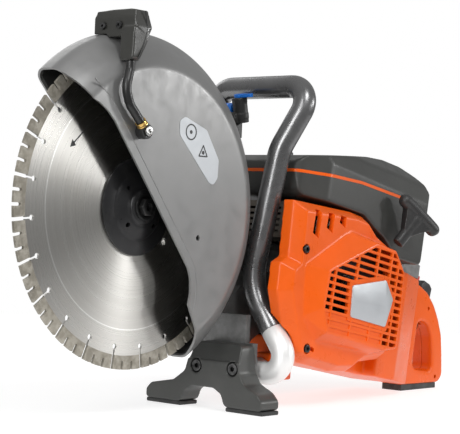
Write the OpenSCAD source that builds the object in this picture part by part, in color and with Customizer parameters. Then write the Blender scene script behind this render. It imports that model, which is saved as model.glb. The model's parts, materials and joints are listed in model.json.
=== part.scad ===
// Petrol cut-off saw for concrete, blade side to the front and left.
// X runs forward along the machine, Y to its left, Z up. Sizes are millimetres.
// The sub-parts are drawn about the blade's centre, and placed() moves the whole
// machine so that the origin is under the middle of its box, on the ground.

/* [Blade] */
// Diameter of the diamond blade over its segments
blade_d = 350; // [348:1:352]
// Thickness of the steel core
core_t = 2.6; // [2.4:0.1:2.8]
// Thickness of the diamond segments
segment_t = 3.4; // [3.2:0.1:3.8]
// Number of diamond segments round the rim
segment_count = 24; // [22:1:26]
// Diameter of the clamping flanges
flange_d = 105; // [100:1:108]

/* [Guard] */
// Outer radius of the guard's rim
guard_r = 188; // [187:1:190]
// Thickness of the guard's sheet
guard_wall = 2.5; // [2:0.5:3]
// Polar angle of the guard's front edge
guard_front = 47; // [44:1:50]
// Polar angle of the guard's lower rear edge
guard_rear = 242; // [238:1:243]

/* [Engine] */
// Cylinder bore
bore_d = 56; // [54:0.5:56]
// Piston stroke
stroke = 38; // [36:1:38]
// Angle by which the machine's body is tipped back
pitch = 10; // [9.5:0.5:10.5]

/* [Handles] */
// Diameter of the front handle's tube
tube_d = 27; // [25:0.5:27]
// Width of the rear grip
grip_w = 34; // [30:1:36]

/* [Hidden] */
$fn = 64;

// Main positions, from the blade's centre
ground_z = -226.7;
crank_x = -310;
crank_z = -93;
body_y = -9;
cylinder_y = -12;

// Fits
run = 0.05;
air = 0.3;

// Blade and spindle
blade_r = blade_d / 2;
core_r = blade_r - 15;
segment_pitch = 360 / segment_count;
gullet_start = 9;
arbor_r = 12.65;
journal_r = 8.48;
bearing_r = 20;
bearing_w = 12;
boss_r = 30;
flange_r = flange_d / 2;

// Belt drive: the arm pulley is twice the size of the clutch's
drive_r = 19;
driven_r = 38;
belt_y0 = -90;
belt_y1 = -78;
belt_t = 5;
arm_angle = atan2(crank_z, crank_x);
arm_length = norm([crank_x, crank_z]);

// Crank mechanism
bore_r = bore_d / 2;
crank_throw = stroke / 2;
rod_length = 70;
web_r = 33.5;
chamber_r = 37;
case_r = 56;
rod_gap = 16;
deck_z = 42;
damper_x = 34;

// Placement of the whole machine
rear_end = crank_x - 325 * cos(pitch) + 62 * sin(pitch);
left_end = 103.9;
right_end = -110.5;
shift = [-(blade_r + rear_end) / 2, -(left_end + right_end) / 2, -ground_z];

module placed() translate(shift) children();

// The body's own frame: origin on the crankshaft, tipped back by the pitch
module in_body() translate([crank_x, 0, crank_z]) rotate([0, -pitch, 0]) children();

// An outline in the X-Z plane, extruded from y0 to y1
module slab(y0, y1) translate([0, y1, 0]) rotate([90, 0, 0]) linear_extrude(y1 - y0) children();

// A profile of radius against Y, turned about the Y axis
module lathe() rotate([-90, 0, 0]) rotate_extrude() children();

module y_rod(r, y0, y1) translate([0, y0, 0]) rotate([-90, 0, 0]) cylinder(r = r, h = y1 - y0);

module y_ring(r1, r0, y0, y1) difference() {
    y_rod(r1, y0, y1);
    y_rod(r0, y0 - 1, y1 + 1);
}

module box(from, to) translate(from) cube(to - from);

module rod_between(from, to, r) let (d = to - from)
    translate(from) rotate([0, acos(d[2] / norm(d)), atan2(d[1], d[0])]) cylinder(r = r, h = norm(d));

// ---------- blade ----------

module blade_core() color("silver") slab(-core_t / 2, core_t / 2) difference() {
    circle(r = core_r, $fn = 180);
    circle(r = arbor_r + run);
    for (i = [0 : segment_count - 1]) rotate(gullet_start + i * segment_pitch) {
        translate([core_r - 9, 0]) circle(r = 3, $fn = 24);
        translate([core_r - 9, -1]) square([12, 2]);
    }
}

module blade_segments() color([0.66, 0.62, 0.55]) slab(-segment_t / 2, segment_t / 2) difference() {
    circle(r = blade_r, $fn = 180);
    circle(r = core_r, $fn = 180);
    for (i = [0 : segment_count - 1]) rotate(gullet_start + i * segment_pitch) {
        translate([core_r - 4, -2]) square([24, 4]);
        for (side = [-1, 1]) rotate(segment_pitch / 2 + side * 2.5) {
            translate([core_r + 7.2, 0]) circle(r = 1.75, $fn = 16);
            translate([core_r + 7.2, -1.75]) square([12, 3.5]);
        }
    }
}

module outer_flange() color([0.13, 0.13, 0.13]) lathe() polygon([
    [arbor_r + run, core_t / 2], [flange_r, core_t / 2], [flange_r, 4.2], [36, 5.2],
    [34, 6.6], [21, 12], [18, 12], [18, 14], [5.4, 14], [5.4, 8.3], [arbor_r + run, 8.3]
]);

module inner_flange() color([0.2, 0.2, 0.2]) lathe() polygon([
    [arbor_r + run, -core_t / 2], [flange_r, -core_t / 2], [flange_r, -5], [40, -9],
    [20, -9], [20, -24], [arbor_r + run, -24]
]);

module blade_bolt() color([0.15, 0.15, 0.15]) {
    y_rod(14, 14, 16);
    translate([0, 16, 0]) rotate([-90, 0, 0]) cylinder(r = 10.5, h = 6, $fn = 6);
    y_rod(5, -18, 14);
}

module blade_spindle() color("silver") difference() {
    union() {
        y_rod(arbor_r, -25, 8);
        y_rod(journal_r, -94, -25);
    }
    y_rod(5 + run, -20, 9);
}

module arm_pulley() color("dimgray") difference() {
    lathe() polygon([
        [journal_r + 0.02, -92], [driven_r + 2, -92], [driven_r + 2, -91], [driven_r, -90.5],
        [driven_r, -77.5], [driven_r + 2, -77], [driven_r + 2, -76], [journal_r + 0.02, -76]
    ]);
    for (i = [0 : 5]) rotate([0, i * 60, 0]) translate([24, 0, 0]) y_rod(6, -93, -75);
}

// ---------- cutting arm and belt ----------

module bearing() lathe() polygon([
    [journal_r + run, 0], [12, 0], [12, 1], [16.5, 1], [16.5, 0], [bearing_r, 0],
    [bearing_r, bearing_w], [16.5, bearing_w], [16.5, bearing_w - 1],
    [12, bearing_w - 1], [12, bearing_w], [journal_r + run, bearing_w]
]);

module ball_bearings() color("silver") {
    for (y = [-70, -42]) translate([0, y, 0]) bearing();
    in_body() for (y = [-52, 14]) translate([0, y, 0]) bearing();
}

// A bar outline from the blade's axis to the crank, with a round at each end
module arm_outline(r0, r1) {
    circle(r = r0);
    rotate(arm_angle) {
        translate([arm_length, 0]) circle(r = r1);
        polygon([[0, -r0], [arm_length, -r1], [arm_length, r1], [0, r0]]);
    }
}

module cutting_arm() color([0.42, 0.42, 0.43]) difference() {
    union() {
        y_rod(boss_r, -72, -28);
        slab(-70, -54) arm_outline(34, 58);
    }
    y_rod(bearing_r + 0.02, -73, -40);
    y_rod(bearing_r + 0.02, -42.1, -30);
    y_rod(14, -31, -27);
    in_body() y_rod(44, -71, -53);
    rotate([0, -arm_angle, 0]) {
        for (x = [66, 120, 174]) box([x, -71, -16], [x + 42, -60, 16]);
    }
}

module belt_outline(gap) hull() {
    circle(r = driven_r + gap, $fn = 96);
    translate([crank_x, crank_z]) circle(r = drive_r + gap, $fn = 96);
}

module drive_belt() color([0.1, 0.1, 0.1]) slab(belt_y0, belt_y1) difference() {
    belt_outline(air + belt_t);
    belt_outline(air);
}

module belt_guard() color([0.3, 0.3, 0.29]) difference() {
    union() {
        slab(-104, -72.2) arm_outline(50, 48);
        slab(-106.4, -104) arm_outline(46, 44);
    }
    slab(-103, -71) arm_outline(47, 45);
    for (i = [0 : 4]) in_body() translate([0, 0, -20 + i * 10]) box([-30, -108, -2], [30, -102, 2]);
    in_body() cover_screw_holes(belt_screw_places(), -108, -100);
}

// ---------- crankcase and crank ----------

module case_outline() {
    intersection() {
        circle(r = case_r);
        translate([-60, -60]) square([120, 60 + deck_z]);
    }
    polygon([[-46, 0], [-46, deck_z], [46, deck_z], [54, 8], [54, 0]]);
}

module crankcase(y0, y1, inner_y, foot_y) in_body() difference() {
    union() {
        slab(y0, y1) case_outline();
        for (x = [-damper_x, damper_x]) translate([x, foot_y, -50]) cylinder(r = 8, h = 22);
    }
    y_rod(chamber_r, min(inner_y, cylinder_y) - 0.01, max(inner_y, cylinder_y) + 0.01);
    y_rod(bearing_r + 0.02, y0 - 1, y1 + 1);
    translate([0, cylinder_y, 20]) cylinder(r = bore_r + 4, h = deck_z);
}

// Bracket of the right half, which reaches forward past the handle to hold the foot
module foot_bracket() difference() {
    union() {
        slab(-52, -13) polygon([
            [-262, -66], [-200, -86], [-178, -106], [-169, -118], [-169, -168], [-205, -166],
            [-226, -150], [-250, -138], [-262, -120]
        ]);
        box([-173, -50, -190], [-165, 38, -150]);
        box([-173, -50, -151], [-165, 26, -118]);
    }
    in_body() y_rod(case_r - 0.5, -60, 0);
    for (y = foot_bolt_ys()) translate([-160, y, -178]) rotate([0, -90, 0]) cylinder(r = 3.1, h = 20);
}

module crankcase_left() color([0.6, 0.6, 0.6]) crankcase(cylinder_y, 26, 14, 17);
module crankcase_right() color([0.6, 0.6, 0.6]) {
    crankcase(-53.9, cylinder_y, -38, -40);
    foot_bracket();
}

module crank_half(y_web, y_end, dir) {
    difference() {
        y_rod(web_r, min(y_web, y_web + dir * 14), max(y_web, y_web + dir * 14));
        for (side = [-1, 1]) box([side * 30 - 14, -60, 8], [side * 30 + 14, 40, 40]);
        translate([0, 0, crank_throw]) y_rod(8, -60, 40);
    }
    y_rod(journal_r, min(y_web + dir * 14, y_end), max(y_web + dir * 14, y_end));
}

module crankshaft() color("silver") in_body() {
    crank_half(cylinder_y + rod_gap / 2, 57, 1);
    crank_half(cylinder_y - rod_gap / 2, -94, -1);
}

module flywheel() color([0.55, 0.55, 0.56]) in_body() difference() {
    union() {
        y_rod(16, 30, 50);
        y_rod(48, 34, 39);
        y_ring(48, 43, 39, 44);
        for (i = [0 : 11]) rotate([0, i * 30, 0]) box([15, 38.5, -1.5], [46, 52, 1.5]);
    }
    y_rod(journal_r + 0.02, 29, 53);
}

module clutch_hub() color([0.45, 0.44, 0.42]) in_body() difference() {
    union() {
        y_rod(17, -69, -58);
        for (i = [0 : 2]) rotate([0, i * 120, 0]) difference() {
            y_rod(35.5, -69, -58);
            y_rod(22, -70, -57);
            box([-40, -70, -40], [40, -57, 3]);
            rotate([0, 55, 0]) box([-40, -70, -40], [0, -57, 40]);
        }
        for (i = [0 : 2]) rotate([0, i * 120, 0]) box([-3, -67, 15], [3, -60, 25]);
    }
    y_rod(journal_r + 0.02, -70, -57);
}

module clutch_drum() color([0.5, 0.5, 0.5]) in_body() lathe() polygon([
    [journal_r + run, -92], [drive_r + 2, -92], [drive_r + 2, -91], [drive_r, -90.5],
    [drive_r, -77.5], [drive_r + 2, -77], [drive_r + 2, -75], [40, -74], [40, -56],
    [37, -56], [37, -71], [journal_r + run, -71]
]);

// ---------- cylinder and piston ----------

module cylinder_body() {
    box([-40, -50, deck_z], [40, 26, deck_z + 7]);
    translate([0, cylinder_y, 0]) {
        translate([0, 0, deck_z - 4]) cylinder(r = bore_r + 3.5, h = 5);
        translate([0, 0, deck_z + 6]) cylinder(r = bore_r + 6, h = 84);
    }
    for (i = [0 : 9]) box([-44, -52, 56 + i * 7.6], [44, 26, 58.2 + i * 7.6]);
    box([30, -30, 76], [48, 6, 100]);
    box([-48, -28, 62], [-30, 4, 86]);
}

module cylinder_part() color([0.72, 0.72, 0.72]) in_body() difference() {
    cylinder_body();
    translate([0, cylinder_y, deck_z - 10]) cylinder(r = bore_r, h = 84.5);
    translate([0, cylinder_y, 110]) cylinder(r1 = bore_r - 3, r2 = 12, h = 12);
    translate([0, cylinder_y, 115]) cylinder(r = 7, h = 30);
    translate([20, cylinder_y, 88]) rotate([0, 90, 0]) cylinder(r = 9, h = 40);
    translate([-60, cylinder_y, 74]) rotate([0, 90, 0]) cylinder(r = 8, h = 40);
}

module spark_plug() color("white") in_body() translate([0, cylinder_y, 0]) {
    translate([0, 0, 119]) cylinder(r = 6.95, h = 13.5);
    translate([0, 0, 132.5]) cylinder(r = 11, h = 8, $fn = 6);
    translate([0, 0, 140.5]) cylinder(r = 5, h = 16);
    translate([0, 0, 156.5]) cylinder(r = 3, h = 5);
}

pin_z = crank_throw + rod_length;

module piston() color([0.75, 0.75, 0.76]) in_body() translate([0, cylinder_y, 0]) difference() {
    translate([0, 0, pin_z - 16]) cylinder(r = bore_r - run, h = 39);
    box([-19, -rod_gap / 2 - 1, pin_z - 17], [19, rod_gap / 2 + 1, pin_z + 14]);
    translate([0, 0, pin_z]) y_rod(6 + run, -40, 40);
    for (z = [14, 18]) translate([0, 0, pin_z + z]) difference() {
        cylinder(r = bore_r + 1, h = 1.6);
        translate([0, 0, -1]) cylinder(r = bore_r - 2, h = 4);
    }
}

module piston_pin() color("silver") in_body() translate([0, cylinder_y, pin_z])
    y_ring(6, 3.5, -bore_r + 3, bore_r - 3);

module connecting_rod() color([0.5, 0.5, 0.52]) in_body() translate([0, cylinder_y, 0]) difference() {
    union() {
        translate([0, 0, crank_throw]) y_rod(13.5, -6.5, 6.5);
        translate([0, 0, pin_z]) y_rod(10, -6.5, 6.5);
        box([-6, -4, crank_throw + 10], [6, 4, pin_z - 8]);
    }
    translate([0, 0, crank_throw]) y_rod(8 + run, -8, 8);
    translate([0, 0, pin_z]) y_rod(6 + run, -8, 8);
}

module crank_pin() color("silver") in_body() translate([0, cylinder_y, crank_throw])
    y_rod(8, -rod_gap / 2 + air, rod_gap / 2 - air);

// ---------- engine's outer parts ----------

module muffler() color([0.35, 0.34, 0.33]) in_body() difference() {
    union() {
        box([50, -52, 52], [84, 20, 96]);
        box([48.2, -30, 76], [50, 6, 98]);
    }
    box([52, -50, 54], [82, 18, 94]);
    for (i = [0 : 4]) box([80, -46, 58 + i * 7], [86, 10, 61 + i * 7]);
    translate([47, cylinder_y, 88]) rotate([0, 90, 0]) cylinder(r = 8, h = 6);
}

module intake_bellows() color([0.12, 0.12, 0.12]) in_body() translate([-49, cylinder_y, 74])
    rotate([0, -90, 0]) rotate_extrude() polygon([
        [8, 0], [12, 0], [12, 3], [15, 5], [12, 7], [12, 9], [15, 11], [12, 13], [12, 16], [8, 16]
    ]);

module carburettor_body() in_body() difference() {
    union() {
        box([-97, -30, 56], [-65.2, 8, 92]);
        translate([-80, 8, 64]) rotate([-90, 0, 0]) cylinder(r = 8, h = 14);
    }
    translate([-98, cylinder_y, 74]) rotate([0, 90, 0]) cylinder(r = 8, h = 34);
}

module carburettor() color([0.7, 0.7, 0.68]) {
    carburettor_body();
    intake_block();
}

// Light-alloy block between the tank and the covers, behind the carburettor
module intake_block() in_body() slab(14, 32) polygon([
    [-196, 51.9], [-140, 52.9], [-140, 61.4], [-152, 61.4], [-166, 78], [-196, 69]
]);

module air_filter() color([0.85, 0.8, 0.6]) in_body() difference() {
    union() {
        box([-150, -60, 100], [-62, 44, 150]);
        for (i = [0 : 6]) box([-146 + i * 12, -62, 104], [-142 + i * 12, 46, 146]);
    }
    box([-140, -50, 99], [-72, 34, 140]);
}

// Side outline of the dark engine cover, under the parting line
module engine_cover_side(inset) polygon([
    [104 - inset, 130 + inset], [99 - inset, 101 + inset * 0.4], [-16, 101 + inset * 0.4],
    [-40, 90 + inset * 0.6], [-64, 82 + inset * 0.6], [-96, 62 + inset], [-150, 62 + inset],
    [-165 + inset, 86], [-167 + inset, 130 + inset]
]);

// Plan of both upper covers: narrower at the front
module cover_plan(inset) polygon([
    [106 - inset, 38 - inset], [100 - inset, 44 - inset], [60, 60 - inset], [-150, 62 - inset],
    [-168 + inset, 50 - inset], [-168 + inset, -68 + inset], [-150, -80 + inset],
    [60, -78 + inset], [100 - inset, -64 + inset], [106 - inset, -58 + inset]
]);

module engine_cover_solid(inset) intersection() {
    slab(-90, 70) engine_cover_side(inset);
    translate([0, 0, 50]) linear_extrude(90) cover_plan(inset);
}

module engine_cover() color([0.32, 0.32, 0.30]) in_body() difference() {
    engine_cover_solid(0);
    engine_cover_solid(3);
    box([-58, -62, 80], [94, 40, 105]);
    box([-112, -45, 60], [-46, 25, 97]);
}

module top_cover_side(inset) polygon([
    [106 - inset, 130.3 - inset], [106 - inset, 138], [96 - inset, 149 - inset], [50, 159 - inset],
    [-37, 178 - inset], [-88, 187 - inset], [-125, 188 - inset], [-148 + inset, 178 - inset],
    [-158 + inset, 160], [-168 + inset, 152], [-168 + inset, 130.3 - inset]
]);

// The cover's roof narrows towards the top
module top_cover_end(inset) polygon([
    [-80 + inset, 128], [-80 + inset, 140], [-70 + inset * 0.7, 166 - inset * 0.7],
    [-40, 190 - inset], [24, 190 - inset], [52 - inset * 0.7, 166 - inset * 0.7],
    [62 - inset, 140], [62 - inset, 128]
]);

module top_cover_solid(inset) intersection() {
    slab(-90, 70) top_cover_side(inset);
    translate([0, 0, 126]) linear_extrude(70) cover_plan(inset);
    translate([-180, 0, 0]) rotate([90, 0, 90]) linear_extrude(300) top_cover_end(inset);
}

module top_cover() color([0.33, 0.33, 0.31]) in_body() difference() {
    top_cover_solid(0);
    top_cover_solid(3);
    button_place() translate([0, 0, -14]) cylinder(r = 8.5, h = 30);
}

module button_place() translate([62, -12, 157]) children();

module decompression_button() color([0.25, 0.25, 0.25]) in_body() button_place() {
    translate([0, 0, -16]) cylinder(r = 8, h = 22);
    translate([0, 0, -22]) cylinder(r = 3, h = 6);
}

// ---------- starter ----------

module starter_outline() polygon([
    [124, 90], [11, 99], [-14, 98], [-37, 83], [-62, 77], [-86, 58], [-94, 30], [-96, -52],
    [-86, -68], [-46, -76], [-24, -91], [10, -95], [70, -93], [92, -88], [108, -62],
    [130, -17], [132, 15], [119, 24]
]);

module starter_face() polygon([
    [112, 80], [12, 90], [-12, 89], [-33, 76], [-58, 69], [-79, 52], [-87, 28], [-88, -48],
    [-80, -60], [-42, -68], [-20, -83], [10, -87], [66, -85], [84, -80], [98, -56],
    [118, -14], [119, 8], [108, 18]
]);

module grille_face() polygon([
    [72, 18], [-19, 67], [-58, 65], [-82, 42], [-86, -3], [-86, -52], [-60, -58], [62, -54], [74, -27]
]);

module bulge_foot() polygon([
    [104, 18], [28, 72], [-56, 68], [-84, 50], [-86, 20], [-87, -52], [-80, -58], [-42, -66],
    [66, -66], [94, -40]
]);

starter_inner_scale = 0.95;
starter_roof_scale = 0.86;
starter_post_r = 6;

module starter_cover() color([1.0, 0.38, 0.10]) {
    difference() {
        in_body() starter_shell();
        rod_between(waist, low_bend, tube_d / 2 + 1.5);
    }
    in_body() y_rod(starter_post_r, 58, 84);
}

module starter_shell() difference() {
    union() {
        slab(29, 58) intersection() {
            starter_outline();
            translate([-110, -100]) square([194, 210]);
        }
        slab(44, 58) starter_outline();
        hull() {
            slab(57, 58) starter_outline();
            slab(71, 72) starter_face();
        }
        hull() {
            slab(70, 71) bulge_foot();
            slab(85, 86) grille_face();
        }
    }
    slab(28, 57.5) translate([1, 0]) scale(starter_inner_scale) starter_outline();
    slab(57.4, 66) scale(starter_roof_scale) starter_outline();
    difference() {
        y_rod(52, 60, 82.5);
        y_rod(starter_post_r, 60, 84);
    }
    for (i = [0 : 2]) box([86 - i * 25, 60, 55 + i * 11], [92 - i * 25, 80, 86]);
    for (row = [0 : 11]) for (col = [0 : 2]) if (row < 5 || row > 7 || col == 0)
        box([30 - col * 38, 80, -46 + row * 8.3], [62 - col * 40, 90, -41 + row * 8.3]);
    cover_screw_holes(starter_screw_places(), 40, 90);
}

module nameplate() color([0.72, 0.73, 0.74]) in_body() slab(86, 87.4) polygon([
    [24, 8], [-43, 26], [-63, 5], [-54, -30], [20, -29]
]);

// Flat spring, wound as a spiral
spring_turns = 5;
spring_steps = 24;
spring_pitch = 3;
function spiral(r0) = [
    for (i = [0 : spring_turns * spring_steps])
        let (a = i * 360 / spring_steps, r = r0 + spring_pitch * i / spring_steps) [r * cos(a), r * sin(a)]
];
function reversed(list) = [for (i = [len(list) - 1 : -1 : 0]) list[i]];

module recoil_spring() color("silver") in_body() slab(69.5, 75)
    polygon(concat(spiral(7.2), reversed(spiral(8.2))));

module starter_pulley() color([0.2, 0.2, 0.2]) in_body() lathe() polygon([
    [starter_post_r + run, 59.5], [24, 59.5], [24, 61.5], [21, 62.5], [21, 65.5], [24, 66.5],
    [24, 68.5], [starter_post_r + run, 68.5]
]);

// Pull handle: the stem lies along the rope, the bar across it
rope_exit = [-73, 75, 76];
rope_dir = unit([-0.45, 0.24, 0.85]);
bar_dir = unit(cross([0.4, 1, 0], rope_dir));
stem_length = 46;

module on_rope() {
    across = cross(rope_dir, bar_dir);
    translate(rope_exit) multmatrix([
        [bar_dir[0], across[0], rope_dir[0], 0],
        [bar_dir[1], across[1], rope_dir[1], 0],
        [bar_dir[2], across[2], rope_dir[2], 0],
        [0, 0, 0, 1]
    ]) children();
}

module starter_handle() color([0.26, 0.26, 0.26]) in_body() on_rope() {
    translate([0, 0, 1]) cylinder(r = 7, h = 16);
    translate([0, 0, 17]) cylinder(r1 = 7, r2 = 9, h = stem_length - 17);
    hull() for (x = [-27, 27]) translate([x, 0, stem_length + 3]) sphere(r = 8.5, $fn = 24);
}

// ---------- screws ----------

function starter_screw_places() = [[104, 36], [76, -76]];
function belt_screw_places() = [[-7, 38], [-38, -7], [7, -38]];

module screw(y_head, dir, length) {
    y_rod(4.5, min(y_head, y_head + dir * 4), max(y_head, y_head + dir * 4));
    y_rod(2.4, min(y_head, y_head - dir * length), max(y_head, y_head - dir * length));
}

module cover_screw_holes(places, y0, y1)
    for (p = places) translate([p[0], 0, p[1]]) y_rod(2.5, y0, y1);

module cover_screws() color([0.15, 0.15, 0.15]) in_body() {
    for (p = starter_screw_places())
        translate([p[0], 0, p[1]]) screw(72, 1, 20);
    for (p = belt_screw_places()) translate([p[0], 0, p[1]]) screw(-106.4, -1, 20);
}

// ---------- tank and rear handle ----------

tank_wall = 3;
shelf_left_y = 28.4;

// The tank's rear block, and the shelf that runs forward under the engine
module tank_outline(inset) polygon([
    [-104 - inset, -62 - inset], [-104 - inset, -88 + inset], [-206, -88 + inset],
    [-216 + inset, -78], [-216 + inset, 44], [-210, 50.8 - inset], [-116, 53 - inset],
    [-104 - inset, 40]
]);

// Plan of the rear block: its left side draws in towards the grip
module tank_plan(inset) polygon([
    [-90, 46 - inset], [-150, 46 - inset], [-204, 29 - inset], [-216, 16 - inset],
    [-230, -8], [-230, -70], [-90, -70]
]);

module tank_block(y0, inset) intersection() {
    slab(y0, 46) tank_outline(inset);
    translate([0, 0, -100]) linear_extrude(170) tank_plan(inset);
}

module shelf_outline(inset) polygon([
    [46 - inset, -62 - inset], [46 - inset, -84], [40 - inset, -89 + inset],
    [-106, -88 + inset], [-106, -62 - inset]
]);

module fuel_tank() color([1.0, 0.38, 0.10]) difference() {
    union() {
        in_body() {
            tank_block(-60, 0);
            slab(-60, shelf_left_y) shelf_outline(0);
            translate([-150, 0, -20]) y_rod(22, -66, -60);
            box([-146, right_end, 38], [-124, -58, 56]);
            box([-146, right_end, 38], [-124, -84, 86]);
        }
        box([-275, -18, -199], [-233.3, 10, -166]);
    }
    in_body() {
        tank_block(-57, tank_wall);
        slab(-57, shelf_left_y - tank_wall) shelf_outline(tank_wall);
        translate([-150, 0, -20]) y_rod(17, -67, -55);
    }
}

module fuel_cap() color([0.1, 0.1, 0.1]) in_body() translate([-150, 0, -20]) {
    y_rod(17 - run, -67, -58);
    difference() {
        y_rod(24, -78, -66 - air);
        for (i = [0 : 11]) rotate([0, i * 30, 0]) translate([25, 0, 0]) y_rod(2.4, -79, -65);
    }
}

module grip_outer() polygon([
    [-216.3, 46], [-240, 50], [-262, 43], [-282, 29], [-297, 12], [-310, -8], [-318, -34],
    [-325, -62], [-318, -72.6], [-226, -87.6], [-216.3, -84]
]);

module grip_window() polygon([
    [-247, 1], [-262, 3], [-274, -1], [-284, -13], [-291, -34], [-296, -54], [-290, -61],
    [-255, -63], [-247, -56]
]);

module rear_handle() color([1.0, 0.40, 0.12]) in_body() difference() {
    slab(body_y - grip_w / 2, body_y + grip_w / 2) difference() {
        grip_outer();
        grip_window();
    }
    box([-272, body_y - 6, -3], [-239.8, body_y + 6, 27]);
    box([-289, body_y - 7, 15], [-256, body_y + 7, 62]);
}

module throttle_trigger() color([0.45, 0.45, 0.45]) in_body() translate([0, body_y, 0]) {
    difference() {
        slab(-5, 5) polygon([
            [-241, 24], [-248.5, 24], [-249, 3], [-266, 0], [-264, -8], [-256, -13],
            [-249, -12], [-247.6, -2], [-241, 4]
        ]);
        translate([-244.5, 0, 20]) y_rod(1.5, -6, 6);
    }
}

module throttle_lockout() color([0.22, 0.22, 0.22]) in_body() translate([0, body_y, 0])
    slab(-6, 6) polygon([[-259, 24], [-283, 24], [-286.5, 52], [-280, 57], [-265, 60], [-259, 52]]);

module rear_pad() color([0.15, 0.15, 0.15]) difference() {
    box([-604, body_y - 15, ground_z], [-520, body_y + 15, ground_z + 12]);
    in_body() slab(-40, 40) grip_outer();
    in_body() slab(-40, 40) polygon([
        [-200, -40], [-330, -40], [-325, -62], [-318, -72.6], [-226, -87.6], [-200, -92]
    ]);
}

module stop_switch() color([0.75, 0.12, 0.1]) in_body() translate([-204, 22, 51.2]) {
    box([-5, -4, 0], [5, 4, 6]);
}

module choke_knob() color([0.15, 0.15, 0.15]) in_body() translate([-190, -30, 0]) {
    translate([0, 0, 52.2]) cylinder(r = 9, h = 7);
}

// ---------- front handle ----------

// Centre line of the front handle, with the radius of each bend. It starts where
// the bare elbow meets it, and its rear run lies along the body's own axis.
waist = [-197, 4, -86];
low_bend = [-190, 82, -184];
junction = waist + (low_bend - waist) * 0.5;
handle_line = [
    [junction, 0], [waist, 70], [[-205, 34, 75], 60], [[-228, 66, 150.5], 24],
    [[-228, -84, 150.5], 26], [[-240, -97, -8], 34], [[-444.3, -97, -44.05], 0]
];
elbow_line = [[junction, 0], [low_bend, 20], [[-190, -4, -185], 22], [[-233, -4, -185], 0]];
bend_steps = 6;

function unit(v) = v / norm(v);
function bend(a, b, c, r) =
    let (u = unit(a - b), v = unit(c - b), half = acos(u * v) / 2, reach = r / tan(half),
        centre = b + unit(u + v) * r / sin(half), p = b + u * reach, q = b + v * reach,
        sweep = 180 - 2 * half)
    [for (i = [0 : bend_steps]) let (t = i / bend_steps * sweep)
        centre + (p - centre) * sin(sweep - t) / sin(sweep) + (q - centre) * sin(t) / sin(sweep)];
function rounded(line) = [
    for (i = [0 : len(line) - 1])
        each (line[i][1] == 0 ? [line[i][0]] : bend(line[i - 1][0], line[i][0], line[i + 1][0], line[i][1]))
];
function tangent(path, i) =
    unit(path[min(i + 1, len(path) - 1)] - path[i]) * (i == len(path) - 1 ? 0 : 1)
    + (i == 0 ? [0, 0, 0] : unit(path[i] - path[i - 1]));
function frames(path, i, side) = i == len(path) ? [] :
    let (t = unit(i == len(path) - 1 ? path[i] - path[i - 1] : tangent(path, i)),
        n = unit(side - t * (side * t)))
    concat([[path[i], n, cross(t, n)]], frames(path, i + 1, n));

module sweep_tube(line, r, sides) {
    rings = frames(rounded(line), 0, [1, 0, 0.1]);
    count = len(rings);
    points = [for (f = rings) for (k = [0 : sides - 1])
        f[0] + r * (cos(k * 360 / sides) * f[1] + sin(k * 360 / sides) * f[2])];
    walls = [for (i = [0 : count - 2]) for (k = [0 : sides - 1])
        [i * sides + k, i * sides + (k + 1) % sides, (i + 1) * sides + (k + 1) % sides,
            (i + 1) * sides + k]];
    ends = [[for (k = [sides - 1 : -1 : 0]) k], [for (k = [0 : sides - 1]) (count - 1) * sides + k]];
    polyhedron(points, concat(walls, ends));
}

module front_handle() color([0.3, 0.3, 0.3]) sweep_tube(handle_line, tube_d / 2, 20);
module handle_elbow() color([0.8, 0.8, 0.8]) sweep_tube(elbow_line, tube_d / 2, 20);

module vibration_dampers() color([0.1, 0.1, 0.1]) {
    for (x = [-damper_x, damper_x]) for (y = [-40, 17])
        in_body() translate([x, y, -61.9]) cylinder(r = 9, h = 11.8);
}

// ---------- foot ----------

function foot_bolt_ys() = [-20, 34];

// Half of the foot's front outline, from its middle outwards
foot_half = [
    [0, -150], [40, -150], [42, -163], [47, -184], [56, -195], [80, -203], [88, -212],
    [88, -222], [34, -222], [26, -208], [14, -202], [0, -202]
];

module front_foot() color([0.34, 0.34, 0.33]) difference() {
    translate([-165, body_y, 0]) rotate([90, 0, 90]) linear_extrude(32)
        polygon(concat(foot_half, [for (p = reversed(foot_half)) [-p[0], p[1]]]));
    for (y = foot_bolt_ys()) translate([-132, y, -178]) rotate([0, -90, 0]) {
        translate([0, 0, -1]) cylinder(r = 8, h = 9);
        cylinder(r = 3.3, h = 40);
    }
}

module foot_pads() color([0.15, 0.15, 0.15])
    for (sign = [-1, 1]) translate([0, body_y + sign * 61, 0])
        box([-165, -27, ground_z], [-135, 27, -222]);

module foot_bolts() color([0.1, 0.1, 0.1])
    for (y = foot_bolt_ys()) translate([-140, y, -178]) rotate([0, -90, 0]) difference() {
        union() {
            translate([0, 0, -6]) cylinder(r = 6.5, h = 6);
            cylinder(r = 3, h = 30);
        }
        translate([0, 0, -7]) cylinder(r = 3, h = 4, $fn = 6);
    }

// ---------- guard ----------

guard_left_y = 34;
guard_right_y = -31;
banjo_x = 32;
banjo_z = 79;

// Fan-shaped outline, from polar angle a0 round to a1
module fan(a0, a1, r)
    polygon(concat([[0, 0]], [for (a = [a0 : (a1 - a0) / 12 : a1 + 0.01]) r * [cos(a), sin(a)]]));

// Cross-section of the guard's shell: radius against Y
module guard_section() let (r = guard_r, w = guard_wall) polygon([
    [r - 50, 34], [r - 38, 34], [r - 23, 26], [r - 10, 14], [r, 3], [r, -22], [r - 10, -31],
    [40, -31], [40, -31 + w], [r - 11, -31 + w], [r - w, -21], [r - w, 2], [r - 11.8, 12.4],
    [r - 24.4, 24], [r - 39, 34 - w], [r - 50, 34 - w]
]);

module guard_plate() polygon([
    [128, 128], [110, 110.5], [93, 104.6], [80, 97], [69, 87], [-53, -64.5], [-57, -75.5],
    [-58, -91.5], [-54, -110.5], [-50.5, -128], [-59.5, -161.5], [-89, -168], [-200, -168],
    [-200, 200], [128, 200]
]);

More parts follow.
